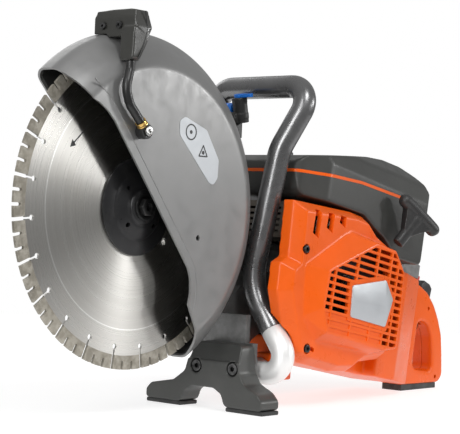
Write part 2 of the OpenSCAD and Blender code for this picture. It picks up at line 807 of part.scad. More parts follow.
module blade_guard() color([0.6, 0.6, 0.6]) difference() {
    union() {
        lathe() guard_section();
        slab(guard_left_y - guard_wall, guard_left_y) circle(r = guard_r - 48);
        y_ring(44, boss_r + air, -38, guard_right_y + guard_wall);
    }
    slab(-60, 60) difference() {
        fan(guard_rear - 360, guard_front, 400);
        circle(r = 46);
    }
    slab(guard_left_y - 9, guard_left_y + 1) difference() {
        circle(r = guard_r - 30);
        guard_plate();
    }
    translate([banjo_x, 0, banjo_z]) y_rod(3.05, guard_left_y - 6, guard_left_y + 6);
}

module guard_liner() color([0.12, 0.12, 0.12]) intersection() {
    let (r = guard_r - guard_wall - air) y_ring(r, r - 2.4, -20, 1.5);
    slab(-30, 10) fan(guard_rear - 34, guard_rear - 1, 400);
}

module guard_handle() color([0.2, 0.2, 0.2]) difference() {
    union() {
        hull() {
            box([33, -14, 176], [58, 40, 202]);
            box([36, -9, 176], [54, 34, 205]);
        }
        hull() {
            box([36, 26, 154], [63, 44, 190]);
            box([38, 26, 149.8], [63, 48, 180]);
        }
    }
    guard_envelope();
    guard_screw_places() {
        cylinder(r = 2.05, h = 16);
        translate([0, 0, -8]) cylinder(r = 4, h = 8);
    }
}

// The guard's outside, with a small gap, that its fittings are cut to
module guard_envelope() lathe() polygon([
    [0, -40], [guard_r + air, -40], [guard_r + air, 2.9], [guard_r - 9.6, 14.3],
    [guard_r - 22.6, 26.4], [guard_r - 38, 34 + air], [0, 34 + air]
]);

module guard_screw_places()
    for (y = [0, 23.5]) translate([58, y, 188]) rotate([0, -90, 0]) children();

module guard_handle_screws() color([0.1, 0.1, 0.1]) guard_screw_places() difference() {
    union() {
        translate([0, 0, -2.5]) cylinder(r = 3.6, h = 2.5);
        cylinder(r = 2, h = 12);
    }
    translate([0, 0, -3]) cylinder(r = 1.6, h = 2, $fn = 6);
}

// Front hose down the guard's left side, and the feed hose along its right side
front_hose = [
    [[57, 40.2, 149.6], 0], [[57, 40.2, 142], 10], [[65, 42.5, 122], 20], [[58, 42.5, 105], 16],
    [[41.5, 42.5, 88.5], 0]
];
feed_hose = [
    [[-186.9, -31, 113.4], 0], [[-140, -39, 124], 60], [[-62, -39, 170], 60], [[-28, -38, 185], 16],
    [[-8, -24, 195], 16], [[6, -6, 195.5], 16], [[32.9, -6, 195.5], 0]
];

module water_hose() color([0.1, 0.1, 0.1]) {
    sweep_tube(front_hose, 5.5, 12);
    sweep_tube(feed_hose, 5.5, 12);
}

module hose_fittings() color([0.75, 0.6, 0.3]) {
    translate([41.5, 42.5, 88.5]) rotate([0, -135, 0]) cylinder(r = 6.4, h = 5);
    translate(valve_pos) rotate([0, 12, 0]) translate([0, 0, -9]) cylinder(r = 4.5, h = 8.7);
}

module hose_banjo() color([0.1, 0.1, 0.1]) translate([banjo_x, 0, banjo_z]) {
    y_rod(8, guard_left_y + air, 46);
    y_rod(4, 45, 48);
    y_rod(3, guard_left_y - 5, 45);
}

valve_pos = [-205.4, -26, 107];

module water_valve() color([0.12, 0.12, 0.12]) translate(valve_pos) {
    difference() {
        union() {
            rotate([0, 12, 0]) cylinder(r = 9, h = 30);
            translate([3, -5, 0.8]) rotate([0, 68.2, 0]) cylinder(r = 6.5, h = 14);
            box([-8, -7, -10], [8, -5, 20]);
            box([-8, -7, -18], [62, -5, -1]);
        }
        rotate([0, 12, 0]) translate([0, 0, -1]) cylinder(r = 3, h = 26);
    }
}

module water_inlet() color([0.1, 0.35, 0.8]) translate(valve_pos) rotate([0, 12, 0])
    translate([0, 0, 16]) rotate([90, 0, 0]) translate([0, 0, 9]) difference() {
        cylinder(r = 7.5, h = 16);
        translate([0, 0, 3]) cylinder(r = 4, h = 14);
    }

module tap_lever() color([0.1, 0.35, 0.8]) translate(valve_pos) rotate([0, 12, 0])
    translate([0, 0, 30.3]) {
        cylinder(r = 6, h = 4);
        box([-4, -3, 0], [4, 20, 4]);
    }

placed() crankcase_left();
placed() crankcase_right();
placed() ball_bearings();
placed() cylinder_part();  // cylinder
placed() spark_plug();
placed() muffler();
placed() carburettor();
placed() intake_bellows();
placed() air_filter();
placed() engine_cover();
placed() top_cover();
placed() starter_cover();
placed() nameplate();
placed() recoil_spring();
placed() cutting_arm();
placed() drive_belt();
placed() belt_guard();
placed() fuel_tank();
placed() rear_handle();
placed() front_handle();
placed() handle_elbow();
placed() vibration_dampers();
placed() front_foot();
placed() foot_pads();
placed() foot_bolts();
placed() rear_pad();
placed() cover_screws();
placed() blade_core();
placed() blade_segments();
placed() outer_flange();
placed() inner_flange();
placed() blade_bolt();
placed() blade_spindle();
placed() arm_pulley();
placed() clutch_drum();
placed() crankshaft();
placed() flywheel();
placed() clutch_hub();
placed() piston();
placed() piston_pin();
placed() connecting_rod();
placed() crank_pin();
placed() blade_guard();
placed() guard_liner();
placed() guard_handle();
placed() guard_handle_screws();
placed() water_hose();
placed() hose_fittings();
placed() hose_banjo();
placed() water_valve();
placed() water_inlet();
placed() tap_lever();
placed() starter_handle();
placed() starter_pulley();
placed() throttle_trigger();
placed() throttle_lockout();
placed() stop_switch();
placed() choke_knob();
placed() decompression_button();
placed() fuel_cap();
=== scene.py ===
import json
import math

import bmesh
import bpy
from mathutils import Matrix, Vector


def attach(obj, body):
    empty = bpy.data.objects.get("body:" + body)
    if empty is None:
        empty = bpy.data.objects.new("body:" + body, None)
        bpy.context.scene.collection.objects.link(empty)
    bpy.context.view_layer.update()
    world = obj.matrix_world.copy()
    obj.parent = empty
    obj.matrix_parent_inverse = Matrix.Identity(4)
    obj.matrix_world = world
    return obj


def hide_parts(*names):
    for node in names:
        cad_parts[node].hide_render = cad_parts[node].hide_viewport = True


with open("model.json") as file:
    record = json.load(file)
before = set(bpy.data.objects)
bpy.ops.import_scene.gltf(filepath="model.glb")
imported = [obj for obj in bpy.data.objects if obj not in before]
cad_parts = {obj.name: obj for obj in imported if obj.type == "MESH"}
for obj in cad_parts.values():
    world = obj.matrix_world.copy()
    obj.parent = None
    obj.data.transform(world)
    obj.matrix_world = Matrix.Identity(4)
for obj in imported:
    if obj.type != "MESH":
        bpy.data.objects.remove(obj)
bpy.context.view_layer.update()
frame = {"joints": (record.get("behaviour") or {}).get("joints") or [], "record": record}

# ---------- places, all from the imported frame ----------

MM = 0.001
JOINTS = {joint["name"]: joint for joint in frame["joints"]}
HUB = Vector(JOINTS["blade_spin"]["pos_m"])
CRANK = Vector(JOINTS["crank_spin"]["pos_m"])
STROKE_AXIS = JOINTS["piston_slide"]["axis"]
PITCH = math.atan2(-STROKE_AXIS[0], STROKE_AXIS[2])

# Two frames in millimetres: the machine's, about the blade's centre, and the engine's tipped one
MACHINE = Matrix.Translation(HUB) @ Matrix.Scale(MM, 4)
ENGINE = (
    Matrix.Translation((CRANK.x, HUB.y, CRANK.z))
    @ Matrix.Rotation(-PITCH, 4, "Y")
    @ Matrix.Scale(MM, 4)
)


# ---------- outlines ----------


def polar(radius, degrees):
    return (radius * math.cos(math.radians(degrees)), radius * math.sin(math.radians(degrees)))


def circle(radius, count=48, centre=(0, 0), start=0):
    return [
        (centre[0] + x, centre[1] + y)
        for x, y in (polar(radius, start + 360 * k / count) for k in range(count))
    ]


def rounded(outline, radius, steps=5):
    """The closed outline with each corner turned into an arc. radius is one number or one per corner."""
    count = len(outline)
    radii = radius if isinstance(radius, (list, tuple)) else [radius] * count
    made = []
    for i, corner in enumerate(outline):
        p = Vector(corner)
        a, b = Vector(outline[i - 1]) - p, Vector(outline[(i + 1) % count]) - p
        half = a.angle(b) / 2
        room = 0.49 * min(a.length, b.length)
        reach = min(radii[i] / max(math.tan(half), 1e-6), room)
        if radii[i] <= 0 or half > math.radians(88):
            made.append(tuple(p))
            continue
        start, end = p + a.normalized() * reach, p + b.normalized() * reach
        for k in range(steps + 1):
            t = k / steps
            made.append(tuple(start * (1 - t) ** 2 + p * 2 * t * (1 - t) + end * t * t))
    return made


def clipped(outline, window):
    """The part of an outline inside a convex window that runs anticlockwise."""
    points = list(outline)
    for i, a in enumerate(window):
        b = window[(i + 1) % len(window)]

        def side(p):
            return (b[0] - a[0]) * (p[1] - a[1]) - (b[1] - a[1]) * (p[0] - a[0])

        kept = []
        for k, q in enumerate(points):
            p = points[k - 1]
            sp, sq = side(p), side(q)
            if (sp < 0) != (sq < 0):
                t = sp / (sp - sq)
                kept.append((p[0] + t * (q[0] - p[0]), p[1] + t * (q[1] - p[1])))
            if sq >= 0:
                kept.append(q)
        points = kept
        if len(points) < 3:
            return []
    return points


def inset(outline, gap):
    """A convex anticlockwise outline moved inwards by gap."""
    count = len(outline)
    lines = []
    for i in range(count):
        a, b = Vector(outline[i]), Vector(outline[(i + 1) % count])
        d = (b - a).normalized()
        lines.append((a + Vector((-d.y, d.x)) * gap, d))
    made = []
    for i in range(count):
        (p, d), (q, e) = lines[i - 1], lines[i]
        cross = d.x * e.y - d.y * e.x
        t = ((q - p).x * e.y - (q - p).y * e.x) / cross
        made.append(tuple(p + d * t))
    return made


def area_of(outline):
    return sum(
        outline[i - 1][0] * p[1] - p[0] * outline[i - 1][1] for i, p in enumerate(outline)
    ) / 2


# ---------- solids ----------


def to_object(points, faces):
    mesh = bpy.data.meshes.new("piece")
    mesh.from_pydata([tuple(p) for p in points], [], faces)
    work = bmesh.new()
    work.from_mesh(mesh)
    bmesh.ops.remove_doubles(work, verts=work.verts, dist=1e-4)
    bmesh.ops.dissolve_degenerate(work, edges=work.edges, dist=1e-5)
    bmesh.ops.recalc_face_normals(work, faces=work.faces)
    work.to_mesh(mesh)
    work.free()
    made = bpy.data.objects.new("piece", mesh)
    bpy.context.scene.collection.objects.link(made)
    return made


def loft(rings, ends=True):
    """A skin through rings of the same number of points, closed at its ends or joined into a loop."""
    n = len(rings[0])
    points = [p for ring in rings for p in ring]
    last = len(rings) - 1 if ends else len(rings)
    faces = [
        (i * n + k, i * n + (k + 1) % n, (i + 1) % len(rings) * n + (k + 1) % n, (i + 1) % len(rings) * n + k)
        for i in range(last)
        for k in range(n)
    ]
    if ends:
        faces.append(tuple(range(n))[::-1])
        faces.append(tuple((len(rings) - 1) * n + k for k in range(n)))
    return to_object(points, faces)


AXES = {"x": lambda u, v, w: (w, u, v), "y": lambda u, v, w: (u, w, v), "z": lambda u, v, w: (u, v, w)}


def prism(outline, lo, hi, axis="y"):
    """An outline extruded along an axis. Its points are (x, z) for y, (y, z) for x and (x, y) for z."""
    put = AXES[axis]
    return loft([[put(u, v, w) for u, v in outline] for w in (lo, hi)])


def layers(steps, axis="y"):
    """A skin through matched outlines, each given with its place along the axis."""
    put = AXES[axis]
    return loft([[put(u, v, w) for u, v in outline] for w, outline in steps])


def turned(profile, start=0, end=360, steps=96):
    """A closed profile of (radius, y) swept about the Y axis through polar angles in degrees."""
    whole = end - start >= 360
    count = steps if whole else steps + 1
    rings = []
    for i in range(count):
        a = math.radians(start + (end - start) * i / steps)
        rings.append([(r * math.cos(a), y, r * math.sin(a)) for r, y in profile])
    return loft(rings, ends=not whole)


def lathed(profile, steps=64):
    """A solid disc or shaft about the Y axis, from an open (radius, y) profile that starts and ends on it."""
    rings = []
    for r, y in profile:
        rings.append(
            [(r * math.cos(a), y, r * math.sin(a)) for a in (2 * math.pi * k / steps for k in range(steps))]
        )
    n = steps
    points = [p for ring in rings for p in ring]
    faces = [
        (i * n + k, i * n + (k + 1) % n, (i + 1) * n + (k + 1) % n, (i + 1) * n + k)
        for i in range(len(rings) - 1)
        for k in range(n)
    ]
    faces.append(tuple(range(n))[::-1])
    faces.append(tuple((len(rings) - 1) * n + k for k in range(n)))
    return to_object(points, faces)


def rod(radius, lo, hi, centre=(0, 0), axis="y", steps=40):
    return prism(circle(radius, steps, centre), lo, hi, axis)


def hull(points):
    """The convex solid round some points."""
    work = bmesh.new()
    for p in points:
        work.verts.new(p)
    found = bmesh.ops.convex_hull(work, input=work.verts)
    bmesh.ops.delete(
        work, geom=[
            g for g in found["geom_interior"] + found["geom_unused"] if isinstance(g, bmesh.types.BMVert)
        ],
        context="VERTS",
    )
    bmesh.ops.recalc_face_normals(work, faces=work.faces)
    mesh = bpy.data.meshes.new("piece")
    work.to_mesh(mesh)
    work.free()
    made = bpy.data.objects.new("piece", mesh)
    bpy.context.scene.collection.objects.link(made)
    return made


def bent_line(line, steps=10):
    """A line of (point, bend radius) with each bend turned into an arc."""
    made = []
    for i, (point, radius) in enumerate(line):
        p = Vector(point)
        if radius == 0:
            made.append(p)
            continue
        a, b = (Vector(line[i - 1][0]) - p).normalized(), (Vector(line[i + 1][0]) - p).normalized()
        half = a.angle(b) / 2
        start, end = p + a * radius / math.tan(half), p + b * radius / math.tan(half)
        centre = p + (a + b).normalized() * radius / math.sin(half)
        sweep = math.pi - 2 * half
        for k in range(steps + 1):
            t = k / steps * sweep
            made.append(
                centre
                + (start - centre) * (math.sin(sweep - t) / math.sin(sweep))
                + (end - centre) * (math.sin(t) / math.sin(sweep))
            )
    return made


def tube(path, radius, sides=32, start_side=(1, 0, 0.1)):
    """A round bar along a path. radius is one number or a function of the place from 0 to 1."""
    size = radius if callable(radius) else (lambda t: radius)
    lengths = [0.0]
    for a, b in zip(path, path[1:]):
        lengths.append(lengths[-1] + (b - a).length)
    side = Vector(start_side)
    rings = []
    for i, p in enumerate(path):
        along = (path[min(i + 1, len(path) - 1)] - path[max(i - 1, 0)]).normalized()
        side = (side - along * side.dot(along)).normalized()
        other = along.cross(side)
        r = size(lengths[i] / lengths[-1])
        rings.append(
            [
                p + side * (r * math.cos(2 * math.pi * k / sides)) + other * (
                    r * math.sin(2 * math.pi * k / sides)
                )
                for k in range(sides)
            ]
        )
    return loft(rings)


# ---------- shaping ----------


def bake(piece):
    """Applies a piece's modifiers to its mesh."""
    shaped = bpy.data.meshes.new_from_object(piece.evaluated_get(bpy.context.evaluated_depsgraph_get()))
    piece.modifiers.clear()
    piece.data = shaped
    return piece


def combine(piece, operation, *others):
    for other in others:
        step = piece.modifiers.new("combine", "BOOLEAN")
        step.operation = operation
        step.solver = "MANIFOLD"
        step.object = other
        bake(piece)
        bpy.data.objects.remove(other)
    return piece


def joined(*pieces):
    return combine(pieces[0], "UNION", *pieces[1:])


def cut(piece, *others):
    return combine(piece, "DIFFERENCE", *others)


def common(piece, *others):
    return combine(piece, "INTERSECT", *others)


def group(pieces):
    """Several solids that lie apart, as one mesh."""
    work = bmesh.new()
    for piece in pieces:
        work.from_mesh(piece.data)
        bpy.data.objects.remove(piece)
    mesh = bpy.data.meshes.new("piece")
    work.to_mesh(mesh)
    work.free()
    made = bpy.data.objects.new("piece", mesh)
    bpy.context.scene.collection.objects.link(made)
    return made


def moulded(piece, grid=1.2, rounds=4):
    """Gives a solid the small round edges of a moulding."""
    remesh = piece.modifiers.new("grid", "REMESH")
    remesh.mode = "VOXEL"
    remesh.voxel_size = grid
    relax = piece.modifiers.new("relax", "SMOOTH")
    relax.factor = 0.5
    relax.iterations = rounds
    return bake(piece)


def edged(piece, width=0.8, segments=3, limit=32):
    """Rounds the sharp edges of a clean solid."""
    step = piece.modifiers.new("edge", "BEVEL")
    step.width = width
    step.segments = segments
    step.limit_method = "ANGLE"
    step.angle_limit = math.radians(limit)
    step.use_clamp_overlap = True
    return bake(piece)


def moved(piece, matrix):
    piece.data.transform(matrix)
    return piece


def place(piece, name, where, body, slot, *nodes, smooth=True, sharp=35):
    """Names a finished solid, puts it in the row frame and lets it ride on its body in place of CAD nodes."""
    piece.name = name
    piece.data.name = name
    piece.data.transform(where)
    for face in piece.data.polygons:
        face.use_smooth = smooth
    if smooth:
        piece.data.set_sharp_from_angle(angle=math.radians(sharp))
    piece.data.materials.clear()
    piece.data.materials.append(FINISHES[slot])
    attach(piece, body)
    if nodes:
        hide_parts(*nodes)
    return piece


# ---------- finishes ----------


def node(tree, kind, **values):
    made = tree.nodes.new(kind)
    for key, value in values.items():
        if key in made.inputs:
            made.inputs[key].default_value = value
        else:
            setattr(made, key, value)
    return made


def noise(tree, vector, scale, detail=4.0, rough=0.55):
    made = node(tree, "ShaderNodeTexNoise", Scale=scale, Detail=detail, Roughness=rough)
    tree.links.new(vector, made.inputs["Vector"])
    return made.outputs["Fac"]


def spread(tree, value, from_lo, from_hi, to_lo, to_hi):
    made = node(tree, "ShaderNodeMapRange")
    made.inputs["From Min"].default_value = from_lo
    made.inputs["From Max"].default_value = from_hi
    made.inputs["To Min"].default_value = to_lo
    made.inputs["To Max"].default_value = to_hi
    tree.links.new(value, made.inputs["Value"])
    return made.outputs["Result"]


def mixed(tree, share, a, b):
    made = node(tree, "ShaderNodeMix", data_type="RGBA")
    tree.links.new(share, made.inputs["Factor"])
    for socket, value in ((made.inputs[6], a), (made.inputs[7], b)):
        if isinstance(value, tuple):
            socket.default_value = value
        else:
            tree.links.new(value, socket)
    return made.outputs[2]


def shade(colour, factor):
    return tuple(min(1.0, c * factor) for c in colour) + (1.0,)


def finish(name, colour, rough, metal=0.0, grain=600.0, bump=0.00004, mottle=0.08, wear=0.0,
           worn=(0.5, 0.5, 0.5), dust=0.0, coat=0.0, specular=0.5, waves=0.0):
    """A surface with broad colour mottling, a fine grain, uneven gloss, rubbed edges and some dust."""
    made = bpy.data.materials.new(name)
    made.use_nodes = True
    tree = made.node_tree
    shader = tree.nodes["Principled BSDF"]
    shader.inputs["Metallic"].default_value = metal
    shader.inputs["Coat Weight"].default_value = coat
    shader.inputs["Coat Roughness"].default_value = 0.12
    shader.inputs["Specular IOR Level"].default_value = specular
    at = tree.nodes.new("ShaderNodeTexCoord").outputs["Object"]
    broad = noise(tree, at, 14.0)
    fine = noise(tree, at, grain, 2.0)
    tint = mixed(
        tree, spread(tree, broad, 0.35, 0.65, 0, 1), shade(colour, 1 - mottle), shade(colour, 1 + mottle)
    )
    if dust:
        drift = noise(tree, at, 38.0, 6.0, 0.7)
        tint = mixed(tree, spread(tree, drift, 0.52, 0.8, 0, dust), tint, (0.42, 0.4, 0.37, 1.0))
    if wear:
        corner = tree.nodes.new("ShaderNodeNewGeometry").outputs["Pointiness"]
        edge = spread(tree, corner, 0.53, 0.64, 0, 1)
        patchy = spread(tree, noise(tree, at, 120.0, 6.0), 0.4, 0.62, 0, wear)
        rubbed = node(tree, "ShaderNodeMath", operation="MULTIPLY")
        tree.links.new(edge, rubbed.inputs[0])
        tree.links.new(patchy, rubbed.inputs[1])
        tint = mixed(tree, rubbed.outputs[0], tint, worn + (1.0,))
    tree.links.new(tint, shader.inputs["Base Color"])
    gloss = noise(tree, at, 55.0, 5.0)
    tree.links.new(
        spread(tree, gloss, 0.3, 0.7, max(0.03, rough - 0.07), min(1, rough + 0.07)), shader.inputs["Roughness"]
    )
    raised = node(tree, "ShaderNodeBump", Strength=1.0, Distance=bump)
    tree.links.new(fine, raised.inputs["Height"])
    out = raised.outputs["Normal"]
    if waves:
        rolling = node(tree, "ShaderNodeBump", Strength=1.0, Distance=waves)
        tree.links.new(noise(tree, at, 26.0, 2.0), rolling.inputs["Height"])
        tree.links.new(out, rolling.inputs["Normal"])
        out = rolling.outputs["Normal"]
    tree.links.new(out, shader.inputs["Normal"])
    return made


def radius_about_hub(tree):
    """Distance from the blade's axis, as a node value in metres."""
    at = tree.nodes.new("ShaderNodeTexCoord").outputs["Object"]
    offset = node(tree, "ShaderNodeVectorMath", operation="SUBTRACT")
    offset.inputs[1].default_value = HUB
    tree.links.new(at, offset.inputs[0])
    flat = node(tree, "ShaderNodeVectorMath", operation="MULTIPLY")
    flat.inputs[1].default_value = (1, 0, 1)
    tree.links.new(offset.outputs["Vector"], flat.inputs[0])
    length = node(tree, "ShaderNodeVectorMath", operation="LENGTH")
    tree.links.new(flat.outputs["Vector"], length.inputs[0])
    return length.outputs["Value"], flat.outputs["Vector"]


def brushed_disc():
    """Steel ground in circles about the blade's axis, with one heavier ring."""
    made = bpy.data.materials.new("blade_steel")
    made.use_nodes = True
    tree = made.node_tree
    shader = tree.nodes["Principled BSDF"]
    shader.inputs["Metallic"].default_value = 1.0
    shader.inputs["Anisotropic"].default_value = 0.88
    shader.inputs["Anisotropic Rotation"].default_value = 0.25
    radius, flat = radius_about_hub(tree)
    tangent = node(tree, "ShaderNodeTangent", direction_type="RADIAL", axis="Y")
    tree.links.new(tangent.outputs["Tangent"], shader.inputs["Tangent"])
    lines = node(tree, "ShaderNodeTexNoise", noise_dimensions="1D", Scale=1700.0, Detail=3.0)
    tree.links.new(radius, lines.inputs["W"])
    bands = node(tree, "ShaderNodeTexNoise", noise_dimensions="1D", Scale=140.0, Detail=4.0)
    tree.links.new(radius, bands.inputs["W"])
    steel, dark = (0.52, 0.51, 0.485, 1.0), (0.49, 0.48, 0.455, 1.0)
    tint = mixed(tree, spread(tree, bands.outputs["Fac"], 0.3, 0.7, 0, 1), dark, steel)
    patch = spread(tree, noise(tree, flat, 18.0, 5.0), 0.5, 0.75, 0, 0.12)
    tint = mixed(tree, patch, tint, (0.5, 0.46, 0.38, 1.0))
    ring = node(tree, "ShaderNodeMath", operation="COMPARE")
    ring.inputs[1].default_value = RING_MARK_R * MM
    ring.inputs[2].default_value = 0.0006
    tree.links.new(radius, ring.inputs[0])
    faint = node(tree, "ShaderNodeMath", operation="MULTIPLY")
    faint.inputs[1].default_value = 0.8
    tree.links.new(ring.outputs[0], faint.inputs[0])
    tint = mixed(tree, faint.outputs[0], tint, (0.8, 0.8, 0.78, 1.0))
    tree.links.new(tint, shader.inputs["Base Color"])
    tree.links.new(spread(tree, lines.outputs["Fac"], 0.3, 0.7, 0.27, 0.33), shader.inputs["Roughness"])
    raised = node(tree, "ShaderNodeBump", Strength=0.5, Distance=0.000004)
    tree.links.new(lines.outputs["Fac"], raised.inputs["Height"])
    tree.links.new(raised.outputs["Normal"], shader.inputs["Normal"])
    return made


RING_MARK_R = 132.4

FINISHES = {
    "guard_metal": finish("guard_metal", (0.23, 0.23, 0.228), 0.36, 0.45, 900, 0.00002, 0.03),
    "cast_alloy": finish(
        "cast_alloy", (0.2, 0.2, 0.197), 0.42, 0.7, 420, 0.0002, 0.12, 0.2, (0.5, 0.5, 0.5), 0.1
    ),
    "blade_steel": brushed_disc(),
    "segment": finish("segment", (0.24, 0.22, 0.18), 0.55, 0.35, 700, 0.0003, 0.18, 0.4, (0.6, 0.57, 0.5), 0.2),
    "flange_black": finish(
        "flange_black", (0.018, 0.018, 0.019), 0.34, 0.4, 500, 0.00004, 0.15, 0.35, (0.16, 0.16, 0.16), 0.05
    ),
    "bolt_black": finish(
        "bolt_black", (0.02, 0.02, 0.02), 0.32, 0.6, 500, 0.00004, 0.15, 0.5, (0.25, 0.25, 0.25)
    ),
    "machined_steel": finish("machined_steel", (0.55, 0.55, 0.54), 0.28, 1.0, 300, 0.00004, 0.06),
    "orange_plastic": finish(
        "orange_plastic", (0.80, 0.108, 0.004), 0.32, 0.0, 850, 0.00003, 0.05, 0.12, (1.0, 0.3, 0.08), 0.0,
        0.05, 0.3
    ),
    "dark_plastic": finish(
        "dark_plastic", (0.036, 0.037, 0.034), 0.42, 0.0, 900, 0.00006, 0.08, 0.08, (0.12, 0.12, 0.11)
    ),
    "black_plastic": finish(
        "black_plastic", (0.02, 0.02, 0.02), 0.42, 0.0, 700, 0.00008, 0.15, 0.4, (0.1, 0.1, 0.1), 0.05
    ),
    "grey_plastic": finish(
        "grey_plastic", (0.04, 0.04, 0.036), 0.34, 0.0, 700, 0.00004, 0.1, 0.1, (0.14, 0.14, 0.13), 0.0, 0.15
    ),
    "tube_coating": finish("tube_coating", (0.2, 0.2, 0.202), 0.28, 0.85, 1100, 0.00004, 0.1),
    "bare_tube": finish(
        "bare_tube", (0.85, 0.85, 0.84), 0.4, 0.4, 700, 0.0001, 0.05, 0.0, (0.9, 0.9, 0.9), 0.0, 0.0, 0.5,
        0.0002
    ),
    "foot_metal": finish(
        "foot_metal", (0.062, 0.063, 0.06), 0.38, 0.35, 650, 0.0001, 0.1, 0.25, (0.26, 0.26, 0.25), 0.03
    ),
    "pad_rubber": finish(
        "pad_rubber", (0.022, 0.022, 0.022), 0.62, 0.0, 500, 0.0002, 0.2, 0.3, (0.09, 0.09, 0.09), 0.12
    ),
    "hose_rubber": finish(
        "hose_rubber", (0.014, 0.014, 0.014), 0.3, 0.0, 900, 0.00005, 0.2, 0.0, (0.1, 0.1, 0.1), 0.05
    ),
    "brass": finish("brass", (0.78, 0.5, 0.16), 0.25, 1.0, 500, 0.00004, 0.1, 0.3, (0.95, 0.75, 0.4)),
    "blue_plastic": finish(
        "blue_plastic", (0.01, 0.16, 0.62), 0.3, 0.0, 600, 0.00005, 0.1, 0.3, (0.2, 0.4, 0.8), 0.0, 0.2
    ),
    "red_plastic": finish(
        "red_plastic", (0.5, 0.015, 0.012), 0.35, 0.0, 600, 0.00005, 0.1, 0.3, (0.8, 0.2, 0.15), 0.0, 0.2
    ),
    "plate_silver": finish(
        "plate_silver", (0.46, 0.48, 0.5), 0.4, 0.35, 900, 0.00002, 0.04, 0.2, (0.8, 0.8, 0.8)
    ),
    "belt_rubber": finish(
        "belt_rubber", (0.03, 0.03, 0.03), 0.7, 0.0, 500, 0.0002, 0.2, 0.0, (0.1, 0.1, 0.1), 0.2
    ),
    "filter_paper": finish(
        "filter_paper", (0.7, 0.62, 0.4), 0.85, 0.0, 500, 0.0003, 0.15, 0.0, (0.9, 0.8, 0.6), 0.2
    ),
    "muffler_steel": finish(
        "muffler_steel", (0.16, 0.14, 0.12), 0.5, 0.8, 500, 0.0002, 0.3, 0.3, (0.4, 0.3, 0.2), 0.2
    ),
    "ceramic": finish(
        "ceramic", (0.8, 0.79, 0.75), 0.2, 0.0, 500, 0.00003, 0.05, 0.2, (0.9, 0.9, 0.9), 0.0, 0.4
    ),
}

# ---------- camera and studio ----------

VIEW_TURN = math.radians(49.94)
VIEW_RISE = math.radians(-0.31)
VIEW_ROLL = math.radians(2.30)
VIEW_DISTANCE = 1662.2
VIEW_AIM = (-102.6, 10.8)
LENS = 120.8


def make_camera():
    back = Vector((
        math.sin(VIEW_TURN) * math.cos(VIEW_RISE),
        math.cos(VIEW_TURN) * math.cos(VIEW_RISE),
        math.sin(VIEW_RISE),
    ))
    level = Vector((0, 0, 1)).cross(back).normalized()
    above = back.cross(level)
    right = level * math.cos(VIEW_ROLL) + above * math.sin(VIEW_ROLL)
    up = above * math.cos(VIEW_ROLL) - level * math.sin(VIEW_ROLL)
    spot = back * VIEW_DISTANCE - right * VIEW_AIM[0] - up * VIEW_AIM[1]
    camera = bpy.data.objects.new("camera", bpy.data.cameras.new("camera"))
    camera.data.lens = LENS
    camera.data.sensor_width = 36
    camera.data.clip_end = 60
    turn = Matrix((right, up, back)).transposed().to_4x4()
    camera.matrix_world = Matrix.Translation(MACHINE @ spot) @ turn
    bpy.context.scene.collection.objects.link(camera)
    bpy.context.scene.camera = camera


def softbox(name, spot, aim, size, power, height=None):
    lamp = bpy.data.lights.new(name, "AREA")
    lamp.energy = power
    lamp.size = size
    if height:
        lamp.shape = "RECTANGLE"
        lamp.size_y = height
    made = bpy.data.objects.new(name, lamp)
    direction = Vector(aim) - Vector(spot)
    made.matrix_world = Matrix.Translation(spot) @ direction.to_track_quat("-Z", "Y").to_matrix().to_4x4()
    bpy.context.scene.collection.objects.link(made)


def make_studio():
    world = bpy.data.worlds.new("studio")
    bpy.context.scene.world = world
    world.use_nodes = True
    tree = world.node_tree
    tree.nodes.clear()
    height = tree.nodes.new("ShaderNodeSeparateXYZ")
    tree.links.new(tree.nodes.new("ShaderNodeTexCoord").outputs["Generated"], height.inputs[0])
    sky = spread(tree, height.outputs["Z"], -0.1, 0.9, SKY_LOW, SKY_HIGH)
    around = node(tree, "ShaderNodeBackground")
    around.inputs["Color"].default_value = (1, 1, 1, 1)
    tree.links.new(sky, around.inputs["Strength"])
    behind = node(tree, "ShaderNodeBackground", Strength=1.0)
    behind.inputs["Color"].default_value = (1, 1, 1, 1)
    seen = tree.nodes.new("ShaderNodeLightPath").outputs["Is Camera Ray"]
    choice = tree.nodes.new("ShaderNodeMixShader")
    tree.links.new(seen, choice.inputs[0])
    tree.links.new(around.outputs[0], choice.inputs[1])
    tree.links.new(behind.outputs[0], choice.inputs[2])
    tree.links.new(choice.outputs[0], tree.nodes.new("ShaderNodeOutputWorld").inputs[0])
    softbox("key", (0.8, 2.0, 2.5), (0, 0, 0.25), 0.9, 36)
    softbox("front", (2.5, 0.7, 1.0), (0.1, 0, 0.25), 0.7, 34, 2.0)
    softbox("rim", (-1.78, 1.57, 0.76), (0, 0, 0.25), 0.25, 9)
    softbox("side", (-1.19, 2.15, 0.59), (0, 0, 0.25), 0.25, 4)
    softbox("back", (-0.6, -2.3, 1.7), (0, 0, 0.25), 1.6, 12)
    bpy.context.scene.view_settings.view_transform = "Standard"
    floor = prism(circle(1.05, 64, (-0.34, -0.42)), -0.02, 0, "z")
    floor.name = "studio_floor"
    paint = bpy.data.materials.new("studio_floor")
    paint.use_nodes = True
    shader = paint.node_tree.nodes["Principled BSDF"]
    shader.inputs["Base Color"].default_value = (0.42, 0.42, 0.42, 1)
    shader.inputs["Roughness"].default_value = 0.8
    shader.inputs["Specular IOR Level"].default_value = 0.1
    shader.inputs["Emission Color"].default_value = (1, 1, 1, 1)
    shader.inputs["Emission Strength"].default_value = 0.72
    floor.data.materials.append(paint)


SKY_LOW = 0.26
SKY_HIGH = 0.5

# ---------- blade ----------

CORE_FACE = 1.3


